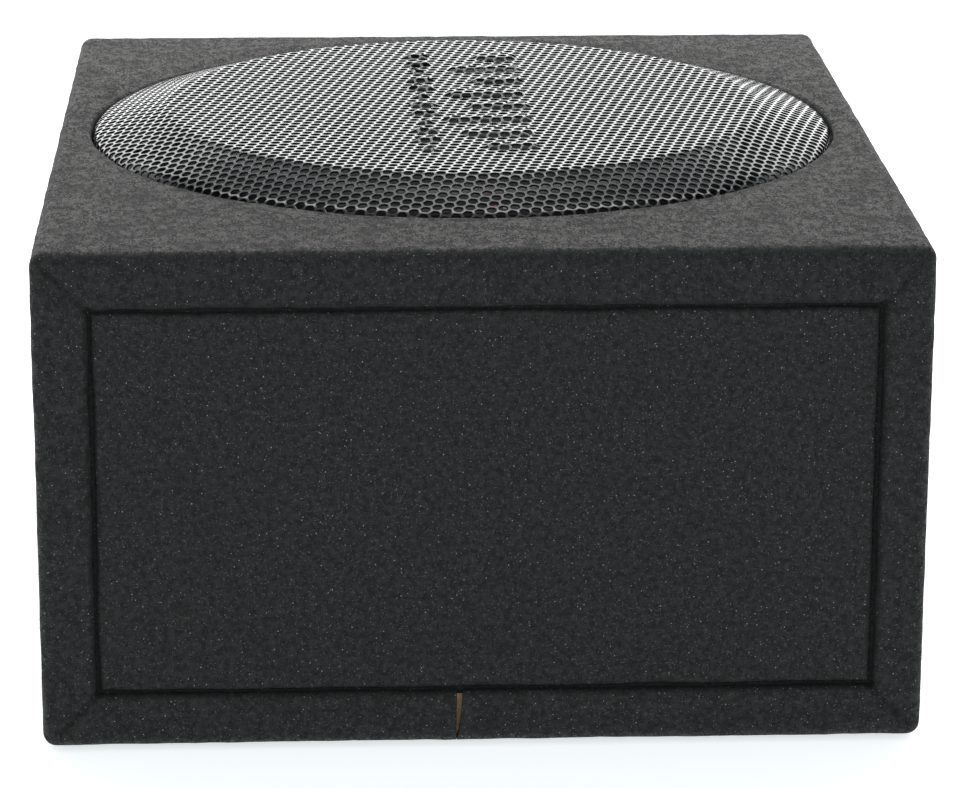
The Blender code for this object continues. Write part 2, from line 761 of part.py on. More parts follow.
def make_inputs(amplifier):
    """The pair of phono inputs and the socket for speaker-level signals."""
    low = BOARD_Z + CIRCUIT_BOARD + GAP
    back = -PANEL - 0.0005
    middle = sum(RCA_XS) / 2
    shape = bmesh.new()
    prism(shape, rectangle(0.036, 0.016, (middle - 0.0015, RCA_Y)), low, back)
    inputs = solid("rca_block", shape, "black_plastic", amplifier)
    noses = bmesh.new()
    section = [
        (0, back - 0.0015),
        (0.0051, back - 0.0015),
        (0.0051, 0.0010),
        (0.0045, 0.0010),
        (0.0045, back + 0.0006),
        (0.0031, back + 0.0006),
        (0.0031, 0.0078),
        (0.0016, 0.0078),
        (0.0016, back + 0.0010),
        (0, back + 0.0010),
    ]
    for x in RCA_XS:
        turned(noses, section, 20, ring=False, at=(x, RCA_Y, 0))
    join(inputs, noses)
    for name, x in zip(("rca_sleeve_left", "rca_sleeve_right"), RCA_XS):
        shape = bmesh.new()
        turned(shape, ring_profile(0.0035, 0.0042, back + 0.0009, 0.0090, 0.0003), 24)
        solid(name, shape, "nickel", amplifier, (x, RCA_Y, 0), smooth=True)
    width, height = SOCKET_SIZE
    shape = bmesh.new()
    prism(shape, rectangle(width, height, SOCKET_AT), low, SOCKET_PROUD)
    socket = solid("high_level_socket", shape, "black_plastic", amplifier)
    cavity = bmesh.new()
    prism(cavity, rectangle(width - 0.0026, height - 0.0026, SOCKET_AT), -0.0080, PROUD)
    cut(socket, cavity)
    pins = bmesh.new()
    for i in range(4):
        at = (SOCKET_AT[0] + 0.0033 * (i - 1.5), SOCKET_AT[1])
        prism(pins, rectangle(0.0009, 0.0009, at), -0.0090, 0.0010)
    join(socket, pins)


def make_power_inlet(amplifier):
    """The screw-terminal block for the supply wires."""
    low = BOARD_Z + CIRCUIT_BOARD + GAP
    width, height = POWER_SIZE
    x, y = POWER_AT
    shape = bmesh.new()
    prism(shape, rectangle(width, height, POWER_AT), low, PROUD)
    inlet = solid("power_terminal_block", shape, "black_plastic", amplifier)
    ways = [x + POWER_PITCH * (i - (POWER_WAYS - 1) / 2) for i in range(POWER_WAYS)]
    entries = bmesh.new()
    bottom = y - height / 2
    for way in ways:
        block(entries, (way - 0.0042, bottom + 0.0015, 0.0003), (way + 0.0042, bottom + 0.0075, 0.012))
    cut(inlet, entries)
    bores = bmesh.new()
    for way in ways:
        upright = circle(0.0030, 12, (way, 0.0050))
        prism(bores, upright, bottom + 0.005, y + height)
    spin_upright(bores)
    cut(inlet, bores)
    for i, way in enumerate(ways):
        head = y + height / 2 - 0.0010
        shape = bmesh.new()
        turned(
            shape,
            [
                (0, -0.0052),
                (0.0016, -0.0052),
                (0.0020, -0.0046),
                (0.0020, -0.0020),
                (0.0027, -0.0020),
                (0.0027, 0),
                (0.0010, 0),
                (0, -0.0008),
            ],
            12,
            ring=False,
        )
        bmesh.ops.rotate(shape, verts=list(shape.verts), matrix=Matrix.Rotation(-math.pi / 2, 3, "X"))
        solid(f"terminal_screw_{i + 1}", shape, "nickel", amplifier, (way, head, 0.0050), smooth=True)


def spin_upright(shape):
    """Turns a shape drawn along z so that it runs along y."""
    turn = Matrix(((1, 0, 0), (0, 0, 1), (0, 1, 0)))
    for vert in shape.verts:
        vert.co = turn @ vert.co


def make_fuse(amplifier):
    """A blade fuse that pulls straight out of its holder."""
    low = BOARD_Z + CIRCUIT_BOARD + GAP
    x, y = FUSE_AT
    width, thick = FUSE_SIZE
    shape = bmesh.new()
    prism(shape, rectangle(*HOLDER_SIZE, FUSE_AT), low, 0.0025)
    holder = solid("fuse_holder", shape, "black_plastic", amplifier)
    slots = bmesh.new()
    prism(slots, rectangle(width + 0.0008, thick + 0.0008, FUSE_AT), -0.0035, 0.006)
    cut(holder, slots)
    blades = bmesh.new()
    for side in (-1, 1):
        at = (x + side * 0.0065, y)
        prism(blades, rectangle(0.0060, 0.0014, at), -0.0130, 0)
    cut(holder, blades)
    shape = bmesh.new()
    prism(shape, rectangle(width, thick), -0.0032, PROUD)
    fuse = solid("fuse", shape, "fuse_plastic", amplifier, (x, y, 0))
    metal = bmesh.new()
    for side in (-1, 1):
        prism(metal, rectangle(0.0052, 0.0007, (side * 0.0065, 0)), -0.0122, -0.0020)
    join(fuse, metal)


def make_led(amplifier):
    """The lamp that shows the amplifier is on."""
    lens = 0.0015
    tip = [(lens * math.cos(a), lens * math.sin(a)) for a in quarter_turn(3)]
    shape = bmesh.new()
    turned(shape, [(0, -0.0155), (lens, -0.0155)] + tip[:-1] + [(0, lens)], 12, ring=False)
    solid("power_led", shape, "lens", amplifier, (*LED_AT, 0), smooth=True)


def make_panel_screws(amplifier):
    """Screws at the panel's corners, into the rear board."""
    profile = [
        (0, -0.0160),
        (0.0006, -0.0160),
        (0.0015, -0.0130),
        (0.0015, GAP),
        (0.0036, GAP),
        (0.0034, 0.0014),
        (0.0018, 0.0024),
        (0.0011, 0.0024),
        (0, 0.0010),
    ]
    for i, (x, y) in enumerate(panel_screw_places()):
        shape = bmesh.new()
        turned(shape, profile, 12, ring=False)
        solid(f"amp_screw_{i + 1}", shape, "black_steel", amplifier, (x, y, 0), smooth=True)


def make_speaker_wires():
    """Two leads from the power board to the driver's terminals."""
    terminal_y = DRIVER_Y + 0.1158 + GAP
    board_y = PANEL_FACE_Y + BOARD_Z - GAP
    for name, side in (("positive", 1), ("negative", -1)):
        route = [
            (side * 0.0100, terminal_y, SEAT_Z - 0.0265),
            (side * 0.0100, terminal_y + 0.006, SEAT_Z - 0.0262),
            (side * 0.0108, terminal_y + 0.0120, SEAT_Z - 0.0300),
            (side * 0.0120, terminal_y + 0.0150, SEAT_Z - 0.0390),
            (side * 0.0125, board_y - 0.006, PANEL_Z + 0.0290),
            (side * 0.0125, board_y, PANEL_Z + 0.0280),
        ]
        slot = "red_plastic" if side > 0 else "black_plastic"
        wire(f"speaker_wire_{name}", route, 0.0028, slot, None)


def main():
    for old in list(bpy.data.objects):
        bpy.data.objects.remove(old)
    make_boards()
    cut_driver_seat()
    cut_hatch()
    make_carpet_wrap()
    make_end_carpets()
    driver = made_object("driver_axis", None, None, (0, DRIVER_Y, SEAT_Z))
    make_basket(driver)
    make_motor(driver)
    make_moving_parts(driver)
    make_suspension(driver)
    make_terminals(driver)
    make_driver_screws(driver)
    make_grille(driver)
    amplifier = made_object("amplifier_frame", None, None, (0, PANEL_FACE_Y, PANEL_Z))
    amplifier.rotation_euler = (math.pi / 2, 0, math.pi)
    make_panel(amplifier)
    make_boards_of_amplifier(amplifier)
    make_knobs(amplifier)
    make_switches(amplifier)
    make_inputs(amplifier)
    make_power_inlet(amplifier)
    make_fuse(amplifier)
    make_led(amplifier)
    make_panel_screws(amplifier)
    make_speaker_wires()


main()
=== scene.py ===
"""Looks for the powered car subwoofer: felt carpet, punched grille, the driver under it, amplifier's panel.

Metres, +Z up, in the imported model's frame.
"""

import json
import math

import bmesh
import bpy
import numpy as np
from mathutils import Euler, Matrix, Vector, noise


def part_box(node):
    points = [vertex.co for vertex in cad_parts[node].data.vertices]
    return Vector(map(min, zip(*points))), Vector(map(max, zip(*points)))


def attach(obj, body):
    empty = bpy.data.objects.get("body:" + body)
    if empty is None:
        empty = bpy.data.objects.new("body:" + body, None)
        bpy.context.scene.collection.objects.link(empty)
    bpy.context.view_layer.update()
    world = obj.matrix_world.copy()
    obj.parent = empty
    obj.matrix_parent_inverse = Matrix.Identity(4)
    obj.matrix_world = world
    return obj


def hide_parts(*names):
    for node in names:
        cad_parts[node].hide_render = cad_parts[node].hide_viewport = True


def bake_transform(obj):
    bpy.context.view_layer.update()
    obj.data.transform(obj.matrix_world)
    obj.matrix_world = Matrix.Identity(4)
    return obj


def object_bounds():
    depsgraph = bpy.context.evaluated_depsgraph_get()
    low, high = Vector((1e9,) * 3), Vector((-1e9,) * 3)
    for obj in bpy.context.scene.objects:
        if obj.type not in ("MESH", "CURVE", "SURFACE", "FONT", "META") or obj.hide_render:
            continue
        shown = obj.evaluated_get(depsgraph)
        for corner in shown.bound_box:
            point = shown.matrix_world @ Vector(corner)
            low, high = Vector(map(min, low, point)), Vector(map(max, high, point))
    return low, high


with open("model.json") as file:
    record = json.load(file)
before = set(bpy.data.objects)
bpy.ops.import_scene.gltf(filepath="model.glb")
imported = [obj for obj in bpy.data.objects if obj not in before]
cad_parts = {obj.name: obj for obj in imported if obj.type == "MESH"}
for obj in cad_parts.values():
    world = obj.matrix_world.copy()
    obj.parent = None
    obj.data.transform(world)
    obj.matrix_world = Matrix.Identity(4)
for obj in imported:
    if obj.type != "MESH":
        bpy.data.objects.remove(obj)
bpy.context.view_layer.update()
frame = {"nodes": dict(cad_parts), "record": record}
nodes = frame["nodes"]

# Sizes from the CAD.
wrap_low, wrap_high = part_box("carpet_wrap")
HALF_X = (wrap_high.x - wrap_low.x) / 2
HALF_Y = (wrap_high.y - wrap_low.y) / 2
HALF_Z = (wrap_high.z - wrap_low.z) / 2
TOP = wrap_high.z
grille_low, grille_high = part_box("grille_mesh")
DRIVER_Y = (grille_low.y + grille_high.y) / 2
GRILLE_RADIUS = (grille_high.x - grille_low.x) / 2
front_low, front_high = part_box("front_carpet")
rear_low, rear_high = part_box("rear_carpet")
panel_low, panel_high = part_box("amp_panel")

# The carpet: the rounding of its long edges, its thickness, where the groove round each end lies and how
# far that is up and to the right of the middle, and the seam on the underside.
EDGE = 0.0047
FELT = 0.0021
GROOVE_INSET = 0.0186
GROOVE_LIFT = 0.0010
GROOVE_SHIFT = 0.0012
SEAM_X = -0.009
SEAM_HALF = 0.00006
SEAM_OPENING = 0.0010
HOLE_RADIUS = 0.1418
GRID = 0.0033
FLANGE = 0.0030
EDGE_STEPS = 8

# How far the pile stands off the CAD's size, and the share of that on top that is left round the grille.
PILE_RIGHT = 0.0015
PILE_LEFT = 0.0006
PILE_TOP = 0.0021
PILE_AT_HOLE = 0.42

# How far inside the amplifier panel's edges the hole in the rear carpet is cut.
TUCK = 0.0008

# The grille: its holes' pitch and the bar between two, its sheet, the radii where one piece of it meets
# the next, the edge of its flat face, and how far the level bars are raised.
PITCH = 0.0044
LATTICE_TURN = math.radians(16)
BAR = 0.00091
SHEET = 0.0008
HOLE_EDGE = 0.00016
FACE_SPLIT = 0.0850
SKIRT_SPLIT = 0.1200
CREASE = 0.1132
EMBOSS = 0.0012
EMBLEM_REACH = 0.034

# The panel's lamp reaches this far behind the panel's face, and print stands this far off it.
LAMP_DEPTH = 0.0155
PRINT_LIFT = 0.00004
PRINT = 0.00014

# Edges sharper than this, in degrees, are rounded on the parts that are softened.
BEVEL_ANGLE = 30


# Materials.


class Shader:
    """A material's nodes."""

    def __init__(self, name, colour=(0.5, 0.5, 0.5), roughness=0.5, metallic=0.0, **sockets):
        self.material = bpy.data.materials.new(name)
        self.material.use_nodes = True
        self.material.diffuse_color = (*colour, 1)
        self.tree = self.material.node_tree
        self.surface = self.tree.nodes["Principled BSDF"]
        self.put(self.surface.inputs["Base Color"], (*colour, 1))
        self.put(self.surface.inputs["Roughness"], roughness)
        self.put(self.surface.inputs["Metallic"], metallic)
        for socket, value in sockets.items():
            self.put(self.surface.inputs[socket.replace("_", " ")], value)
        self.place = self.add("ShaderNodeTexCoord").outputs["Object"]
        self.height = None

    def put(self, socket, value):
        if isinstance(value, bpy.types.NodeSocket):
            self.tree.links.new(value, socket)
        else:
            socket.default_value = value

    def add(self, kind, inputs=None, **settings):
        node = self.tree.nodes.new(kind)
        for setting, value in settings.items():
            setattr(node, setting, value)
        for socket, value in (inputs or {}).items():
            self.put(node.inputs[socket], value)
        return node

    def mapped(self, scale, turn):
        """The place on the object, turned and scaled."""
        mapping = self.add("ShaderNodeMapping", {"Vector": self.place, "Scale": scale, "Rotation": turn})
        return mapping.outputs["Vector"]

    def noise(self, scale, detail=2.0, stretch=None, turn=(0, 0, 0), rough=0.5):
        """Noise of that many waves a metre. stretch multiplies the scale along each axis."""
        place = self.mapped(stretch, turn) if stretch else self.place
        inputs = {"Vector": place, "Scale": scale, "Detail": detail, "Roughness": rough}
        return self.add("ShaderNodeTexNoise", inputs).outputs["Fac"]

    def remap(self, value, low, high, to_low=0.0, to_high=1.0):
        inputs = {"Value": value, "From Min": low, "From Max": high, "To Min": to_low, "To Max": to_high}
        return self.add("ShaderNodeMapRange", inputs).outputs["Result"]

    def maths(self, operation, first, second):
        node = self.add("ShaderNodeMath", operation=operation)
        self.put(node.inputs[0], first)
        self.put(node.inputs[1], second)
        return node.outputs["Value"]

    def mix(self, share, first, second):
        """Two colours mixed. Each is three numbers or a socket."""
        node = self.add("ShaderNodeMix", data_type="RGBA")
        self.put(node.inputs[0], share)
        for socket, colour in ((node.inputs[6], first), (node.inputs[7], second)):
            self.put(socket, (*colour, 1) if isinstance(colour, tuple) else colour)
        return node.outputs[2]

    def specks(self, scale, size, share):
        """Round specks in some of the cells of a lattice. Returns 1 in a speck and 0 elsewhere."""
        cells = self.add("ShaderNodeTexVoronoi", {"Vector": self.place, "Scale": scale})
        near = self.remap(cells.outputs["Distance"], size, size * 0.6)
        chosen = self.add("ShaderNodeSeparateColor", {"Color": cells.outputs["Color"]})
        kept = self.remap(chosen.outputs["Red"], 1 - share, 1 - share * 0.9)
        return self.maths("MULTIPLY", near, kept)

    def colour(self, value):
        self.put(self.surface.inputs["Base Color"], value)

    def roughness(self, value):
        self.put(self.surface.inputs["Roughness"], value)

    def bump(self, height, distance, strength=1.0):
        """Adds a bump, over any there is already."""
        inputs = {"Height": height, "Distance": distance, "Strength": strength}
        if self.height:
            inputs["Normal"] = self.height
        self.height = self.add("ShaderNodeBump", inputs).outputs["Normal"]
        self.put(self.surface.inputs["Normal"], self.height)


def felt():
    """Needle-punched felt: dark seen straight on; paler and more mottled at grazing views, where a painted
    sheen with painted shade between its tufts and lumps stands for its lit pile; painted glints; painted
    shade in its grooves.
    """
    settings = {"Sheen_Weight": 0.02, "Sheen_Roughness": 0.4, "Specular_IOR_Level": 0.2}
    s = Shader("carpet_felt", (0.02, 0.021, 0.021), 0.85, **settings)
    lumps = s.noise(120, 3)
    tufts = s.noise(1, 4, (430, 190, 430), rough=0.62)
    fine = s.noise(1, 3, (1500, 600, 1500))
    along = s.noise(1, 2, (500, 2600, 2400), (0.3, 0.1, 0.4))
    askew = s.noise(1, 2, (2400, 620, 2100), (0.5, 0.9, 0.7))
    across = s.noise(1, 2, (1900, 2600, 560), (0.2, 0.6, -0.9))
    fibres = s.maths("MAXIMUM", s.maths("MAXIMUM", along, askew), across)
    flat = s.mix(s.remap(tufts, 0.40, 0.66), (0.0095, 0.0104, 0.0106), (0.0240, 0.0260, 0.0262))
    flat = s.mix(s.remap(fibres, 0.60, 0.76), flat, (0.046, 0.048, 0.048))
    # The felt's colour at grazing views: a painted sheen, paler than its own colour, with painted shade
    # between its tufts and low lumps.
    sheen_and_tuft_shade = s.mix(s.remap(tufts, 0.47, 0.56), (0.0018, 0.0018, 0.0017), (0.053, 0.0510, 0.0488))
    sheen_and_tuft_shade = s.mix(s.remap(fine, 0.52, 0.64, 0.0, 0.80), sheen_and_tuft_shade, (0.135, 0.130, 0.125))
    sheen_and_tuft_shade = s.mix(s.remap(lumps, 0.50, 0.32, 0.0, 0.72), sheen_and_tuft_shade, (0.0045, 0.0044, 0.0043))
    hollow = s.add("ShaderNodeAttribute", attribute_name="hollow").outputs["Fac"]
    facing = s.add("ShaderNodeLayerWeight", {"Blend": 0.5}).outputs["Facing"]
    # How much of that painted sheen shows: more as the view grazes, none deep in a groove.
    sheen_share = s.maths("MULTIPLY", s.remap(facing, 0.20, 0.78), s.remap(hollow, 0.0, 0.5, 1.0, 0.0))
    body = s.mix(sheen_share, flat, sheen_and_tuft_shade)
    # Painted glints: small pale specks standing for fibres that catch the light.
    faint_glints = s.specks(800, 0.19, 0.85)
    bright_glints = s.maths("MAXIMUM", s.specks(470, 0.095, 0.55), s.specks(290, 0.062, 0.50))
    body = s.mix(s.maths("MULTIPLY", faint_glints, 0.8), body, (0.120, 0.126, 0.128))
    body = s.mix(bright_glints, body, (0.36, 0.38, 0.38))
    # Painted shade: darker where the felt runs into a groove, a corner fold or down into the rebate round the
    # grille.
    s.colour(s.mix(s.maths("MULTIPLY", hollow, 0.62), body, (0.0016, 0.0016, 0.0016)))
    s.bump(lumps, 0.0018, 0.6)
    s.bump(tufts, 0.0010, 0.7)
    s.bump(fibres, 0.0005, 0.7)
    return s.material


def fibre():
    """The loose fibres that stand off the felt."""
    s = Shader("loose_fibre", (0.05, 0.05, 0.05), 0.45, Specular_IOR_Level=0.4)
    s.colour(s.mix(s.remap(s.noise(900, 0), 0.40, 0.72), (0.012, 0.013, 0.013), (0.13, 0.135, 0.135)))
    return s.material


def painted(name, colour, roughness, grain=0.00006, grain_scale=2600.0, **sockets):
    """Paint or powder coat with an orange-peel grain."""
    s = Shader(name, colour, roughness, **sockets)
    wear = s.noise(60, 4)
    lighter = tuple(min(1.0, c * 1.5 + 0.004) for c in colour)
    s.colour(s.mix(s.remap(wear, 0.45, 0.8), colour, lighter))
    s.roughness(s.remap(s.noise(240, 3), 0.3, 0.7, roughness * 0.85, min(1.0, roughness * 1.2)))
    s.bump(s.noise(grain_scale, 2), grain, 0.5)
    return s.material


def bare_metal(name, colour, roughness, stretch):
    """Bright metal with fine lines from the tool that cut it."""
    s = Shader(name, colour, roughness, 1.0)
    lines = s.noise(1, 3, stretch)
    stain = s.noise(90, 4)
    darker = tuple(c * 0.72 for c in colour)
    s.colour(s.mix(s.remap(stain, 0.4, 0.75), colour, darker))
    s.roughness(s.remap(lines, 0.3, 0.7, roughness * 0.8, roughness * 1.3))
    s.bump(lines, 0.00003, 0.6)
    return s.material


def moulded(name, colour, roughness):
    """Moulded plastic or rubber with a fine spark-eroded grain."""
    s = Shader(name, colour, roughness)
    pale = tuple(min(1.0, c * 1.35 + 0.003) for c in colour)
    s.colour(s.mix(s.remap(s.noise(75, 3), 0.35, 0.75), colour, pale))
    s.roughness(s.remap(s.noise(500, 2), 0.3, 0.7, roughness * 0.88, min(1.0, roughness * 1.15)))
    s.bump(s.noise(4200, 1), 0.00005, 0.5)
    return s.material


def fibreboard():
    """Raw board: short pale and dark wood fibres."""
    s = Shader("raw_fibreboard", (0.42, 0.26, 0.14), 0.85)
    grain = s.noise(1, 4, (500, 900, 2200))
    spots = s.noise(900, 3)
    pale = s.mix(s.remap(grain, 0.35, 0.7), (0.34, 0.20, 0.105), (0.52, 0.34, 0.19))
    s.colour(s.mix(s.remap(spots, 0.58, 0.75), pale, (0.20, 0.11, 0.055)))
    s.bump(grain, 0.0002, 0.6)
    return s.material


def woven(name, dark, light):
    """Resin-dipped cloth: two crossing sets of threads."""
    s = Shader(name, light, 0.8)
    thread = {"Vector": s.place, "Scale": 320, "Distortion": 0.6}
    warp = s.add("ShaderNodeTexWave", thread, bands_direction="X")
    weft = s.add("ShaderNodeTexWave", thread, bands_direction="Y")
    threads = s.maths("MAXIMUM", warp.outputs["Fac"], weft.outputs["Fac"])
    s.colour(s.mix(threads, dark, light))
    s.bump(threads, 0.0002, 0.8)
    return s.material


def pulp():
    """Pressed paper pulp: matted fibres under a black dye."""
    s = Shader("cone_pulp", (0.022, 0.022, 0.023), 0.72)
    along, across = s.noise(1, 2, (300, 1900, 900)), s.noise(1, 2, (1900, 300, 900), (0, 0, 0.8))
    fibres = s.maths("MAXIMUM", along, across)
    s.colour(s.mix(s.remap(fibres, 0.5, 0.75), (0.014, 0.014, 0.015), (0.050, 0.049, 0.047)))
    s.bump(fibres, 0.0003, 0.7)
    return s.material


def circuit_board():
    """Green solder mask with the copper tracks showing through it."""
    s = Shader("solder_mask", (0.02, 0.10, 0.045), 0.35, Coat_Weight=0.4, Coat_Roughness=0.2)
    grid = s.add("ShaderNodeTexVoronoi", {"Vector": s.place, "Scale": 160}, distance="MANHATTAN")
    tracks = s.remap(grid.outputs["Distance"], 0.42, 0.46)
    s.colour(s.mix(tracks, (0.012, 0.075, 0.032), (0.035, 0.17, 0.075)))
    s.bump(tracks, 0.00005, 0.5)
    return s.material


def clear_plastic(name, colour, glow=0.0):
    s = Shader(name, colour, 0.18, Transmission_Weight=0.55, IOR=1.5)
    s.colour(s.mix(s.remap(s.noise(300, 2), 0.3, 0.7), colour, tuple(c * 0.8 for c in colour)))
    s.bump(s.noise(900, 1), 0.00004, 0.4)
    if glow:
        s.put(s.surface.inputs["Emission Color"], (*colour, 1))
        s.put(s.surface.inputs["Emission Strength"], glow)
    return s.material


def studio_floor():
    s = Shader("studio_floor", (0.6, 0.605, 0.61), 0.55, Specular_IOR_Level=0.3)
    s.colour(s.mix(s.noise(2, 2), (0.60, 0.605, 0.61), (0.62, 0.625, 0.63)))
    s.put(s.surface.inputs["Emission Color"], (0.94, 0.985, 1.0, 1))
    s.put(s.surface.inputs["Emission Strength"], 0.72)
    return s.material


FELT_MATERIAL = felt()
BY_SLOT = {
    "carpet": FELT_MATERIAL,
    "fibreboard": fibreboard(),
    "grille_steel": painted("grille_paint", (0.010, 0.0108, 0.0125), 0.175, 0.00002, Specular_IOR_Level=0.5),
    "basket_steel": painted("basket_paint", (0.016, 0.016, 0.017), 0.38),
    "plated_steel": bare_metal("zinc_plate", (0.52, 0.52, 0.50), 0.34, (2500, 2500, 90)),
    "ferrite": painted("ground_ferrite", (0.035, 0.034, 0.034), 0.62, 0.0001, 1500),
    "rubber": moulded("surround_rubber", (0.012, 0.012, 0.013), 0.48),
    "cone_paper": pulp(),
    "spider_cloth": woven("spider_cloth_weave", (0.18, 0.11, 0.03), (0.48, 0.34, 0.12)),
    "copper": bare_metal("copper_wire", (0.62, 0.30, 0.16), 0.32, (3000, 3000, 2200)),
    "black_plastic": moulded("black_nylon", (0.014, 0.014, 0.015), 0.45),
    "red_plastic": moulded("red_nylon", (0.40, 0.015, 0.015), 0.40),
    "panel_metal": painted("panel_powder_coat", (0.011, 0.0115, 0.0125), 0.40, 0.00012, 2200),
    "foam": moulded("cell_foam", (0.022, 0.022, 0.022), 0.92),
    "circuit_board": circuit_board(),
    "nickel": bare_metal("nickel_plate", (0.66, 0.64, 0.59), 0.20, (900, 900, 2600)),
    "black_steel": bare_metal("black_oxide", (0.055, 0.055, 0.058), 0.36, (1500, 1500, 1500)),
    "fuse_plastic": clear_plastic("amber_plastic", (0.72, 0.42, 0.03)),
    "lens": clear_plastic("blue_lens", (0.05, 0.16, 0.75), 0.6),
}


# Tools that make pieces.


def piece(name, verts, faces, slot, body="enclosure", smooth=True, sharp=40, replaces=(), look=None):
    """A mesh object that rides on a body, with its looks from a slot or from a material of its own."""
    mesh = bpy.data.meshes.new(name)
    mesh.from_pydata([tuple(v) for v in verts], [], faces)
    mesh.validate()
    mesh.materials.append(look or BY_SLOT[slot])
    if smooth:
        mesh.shade_smooth()
        if sharp:
            mesh.set_sharp_from_angle(angle=math.radians(sharp))
    made = bpy.data.objects.new(name, mesh)
    bpy.context.scene.collection.objects.link(made)
    if body:
        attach(made, body)
    if replaces:
        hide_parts(*replaces)
    return made


def shape_piece(name, shape, slot, **settings):
    """A piece from a bmesh."""
    bmesh.ops.recalc_face_normals(shape, faces=list(shape.faces))
    shape.verts.index_update()
    verts = [v.co.copy() for v in shape.verts]
    faces = [[v.index for v in f.verts] for f in shape.faces]
    shape.free()
    return piece(name, verts, faces, slot, **settings)


def lumpy(place, size, seed=0.0):
    """Noise from -1 to 1 with features of about that size."""
    return noise.noise(Vector(place) / size + Vector((seed, seed * 1.7, seed * 2.3)))


def turned(shape, profile, steps, at, axis="Z"):
    """A closed profile of (radius, height) points spun about an axis."""
    verts = [shape.verts.new((r, 0, z)) for r, z in profile]
    edges = [shape.edges.new(pair) for pair in zip(verts, verts[1:] + verts[:1])]
    before = set(shape.verts) - set(verts)
    bmesh.ops.spin(
        shape, geom=edges, cent=(0, 0, 0), axis=(0, 0, 1), angle=2 * math.pi, steps=steps, use_merge=True
    )
    new = [v for v in shape.verts if v not in before]
    turn = Matrix.Rotation(-math.pi / 2, 4, "X") if axis == "Y" else Matrix.Identity(4)
    bmesh.ops.transform(shape, verts=new, matrix=Matrix.Translation(at) @ turn)


def softened(node, slot, width, body):
    """A copy of a CAD node with its edges rounded, which stands for it."""
    shape = bmesh.new()
    shape.from_mesh(nodes[node].data)
    bmesh.ops.remove_doubles(shape, verts=list(shape.verts), dist=1e-6)
    bmesh.ops.dissolve_limit(
        shape, angle_limit=math.radians(0.3), verts=list(shape.verts), edges=list(shape.edges)
    )
    made = shape_piece(f"{node}_soft", shape, slot, body=body, replaces=(node,), sharp=BEVEL_ANGLE)
    bevel = made.modifiers.new("Bevel", "BEVEL")
    bevel.width = width
    bevel.segments = 2
    bevel.limit_method = "ANGLE"
    bevel.angle_limit = math.radians(BEVEL_ANGLE)
    bevel.harden_normals = True
    return made


# The carpet.


def spread(start, end, count):
    """Positions from start up to but not including end, closer together near both."""
    length = end - start
    near = [0.0, 0.0006, 0.0014, 0.0025, 0.0040]
    sign = 1 if length > 0 else -1
    middle = np.linspace(near[-1], abs(length) - near[-1], count)[1:-1]
    places = near + list(middle) + [abs(length) - n for n in reversed(near[1:])]
    return [start + sign * p for p in places]


def wrap_loop(inset):
    """Points (x, z) round the box at that inset from its outside, open at the seam, and where the top begins
    and ends among them."""
    x, z = HALF_X - inset + GROOVE_SHIFT * inset / GROOVE_INSET, HALF_Z - inset
    round_off = max(EDGE - inset, 0.0009)
    x -= round_off
    z -= round_off
    half = SEAM_HALF + SEAM_OPENING * (inset / GROOVE_INSET) ** 0.7
    across, up = int(2 * HALF_X / GRID), int(2 * HALF_Z / GRID)
    points = [(px, -z - round_off) for px in spread(SEAM_X + half, x, across // 2)]

    def corner(cx, cz, quarter):
        for i in range(EDGE_STEPS):
            turn = math.pi / 2 * (quarter + i / EDGE_STEPS)
            points.append((cx + round_off * math.cos(turn), cz + round_off * math.sin(turn)))

    corner(x, -z, 3)
    points.extend((x + round_off, pz) for pz in spread(-z, z, up))
    corner(x, z, 0)
    begin = len(points)
    points.extend((px, z + round_off) for px in spread(x, -x, across))
    end = len(points)
    corner(-x, z, 1)
    points.extend((-x - round_off, pz) for pz in spread(z, -z, up))
    corner(-x, -z, 2)
    points.extend((px, -z - round_off) for px in spread(-x, SEAM_X - half, across // 2))
    points.append((SEAM_X - half, -z - round_off))
    return points, begin, end


def wrap_stations():
    """Where the loops of the wrap lie, as (inset, y) from the front groove to the rear one, and how many of
    them come before the flat sides."""
    end = [(GROOVE_INSET, 0.0024), (GROOVE_INSET, 0.0015), (GROOVE_INSET - 0.0003, 0.0007)]
    end += [(GROOVE_INSET - 0.0009, 0.0002), (GROOVE_INSET - 0.0018, 0.0)]
    end += [(inset, 0.0) for inset in np.linspace(GROOVE_INSET - 0.0040, EDGE, 7)]
    for i in range(1, EDGE_STEPS):
        turn = math.pi / 2 * i / EDGE_STEPS
        end.append((EDGE * (1 - math.sin(turn)), EDGE * (1 - math.cos(turn))))
    flat = np.linspace(-HALF_Y + EDGE, HALF_Y - EDGE, int(2 * HALF_Y / GRID))
    stations = [(inset, y - HALF_Y) for inset, y in end]
    stations += [(0.0, y) for y in flat]
    stations += [(inset, HALF_Y - y) for inset, y in reversed(end)]
    return stations, len(end)


def mitre(place):
    """How far the fold at a corner of an end sinks into the carpet."""
    x, y, z = place
    if abs(abs(y) - HALF_Y) > 0.0016:
        return 0.0
    rough = min(HALF_X - abs(x), HALF_Z - abs(z - HALF_Z)) / GROOVE_INSET
    from_edge = HALF_Z - abs(z - GROOVE_LIFT * rough - HALF_Z)
    from_side = HALF_X - abs(x - GROOVE_SHIFT * rough)
    from_side *= GROOVE_INSET / (GROOVE_INSET - GROOVE_SHIFT)
    depth = min(from_side, from_edge)
    if depth < 0.001:
        return 0.0
    off = (from_side - from_edge) / math.sqrt(2) + 0.0005 * lumpy(place, 0.006, 3)
    fade = min(1.0, (depth - 0.001) / 0.005)
    fold = 0.00085 * math.exp(-((off / 0.0012) ** 2))
    lap = 0.00022 * math.exp(-(((off - 0.0026) / 0.0015) ** 2))
    return fade * (fold - lap)


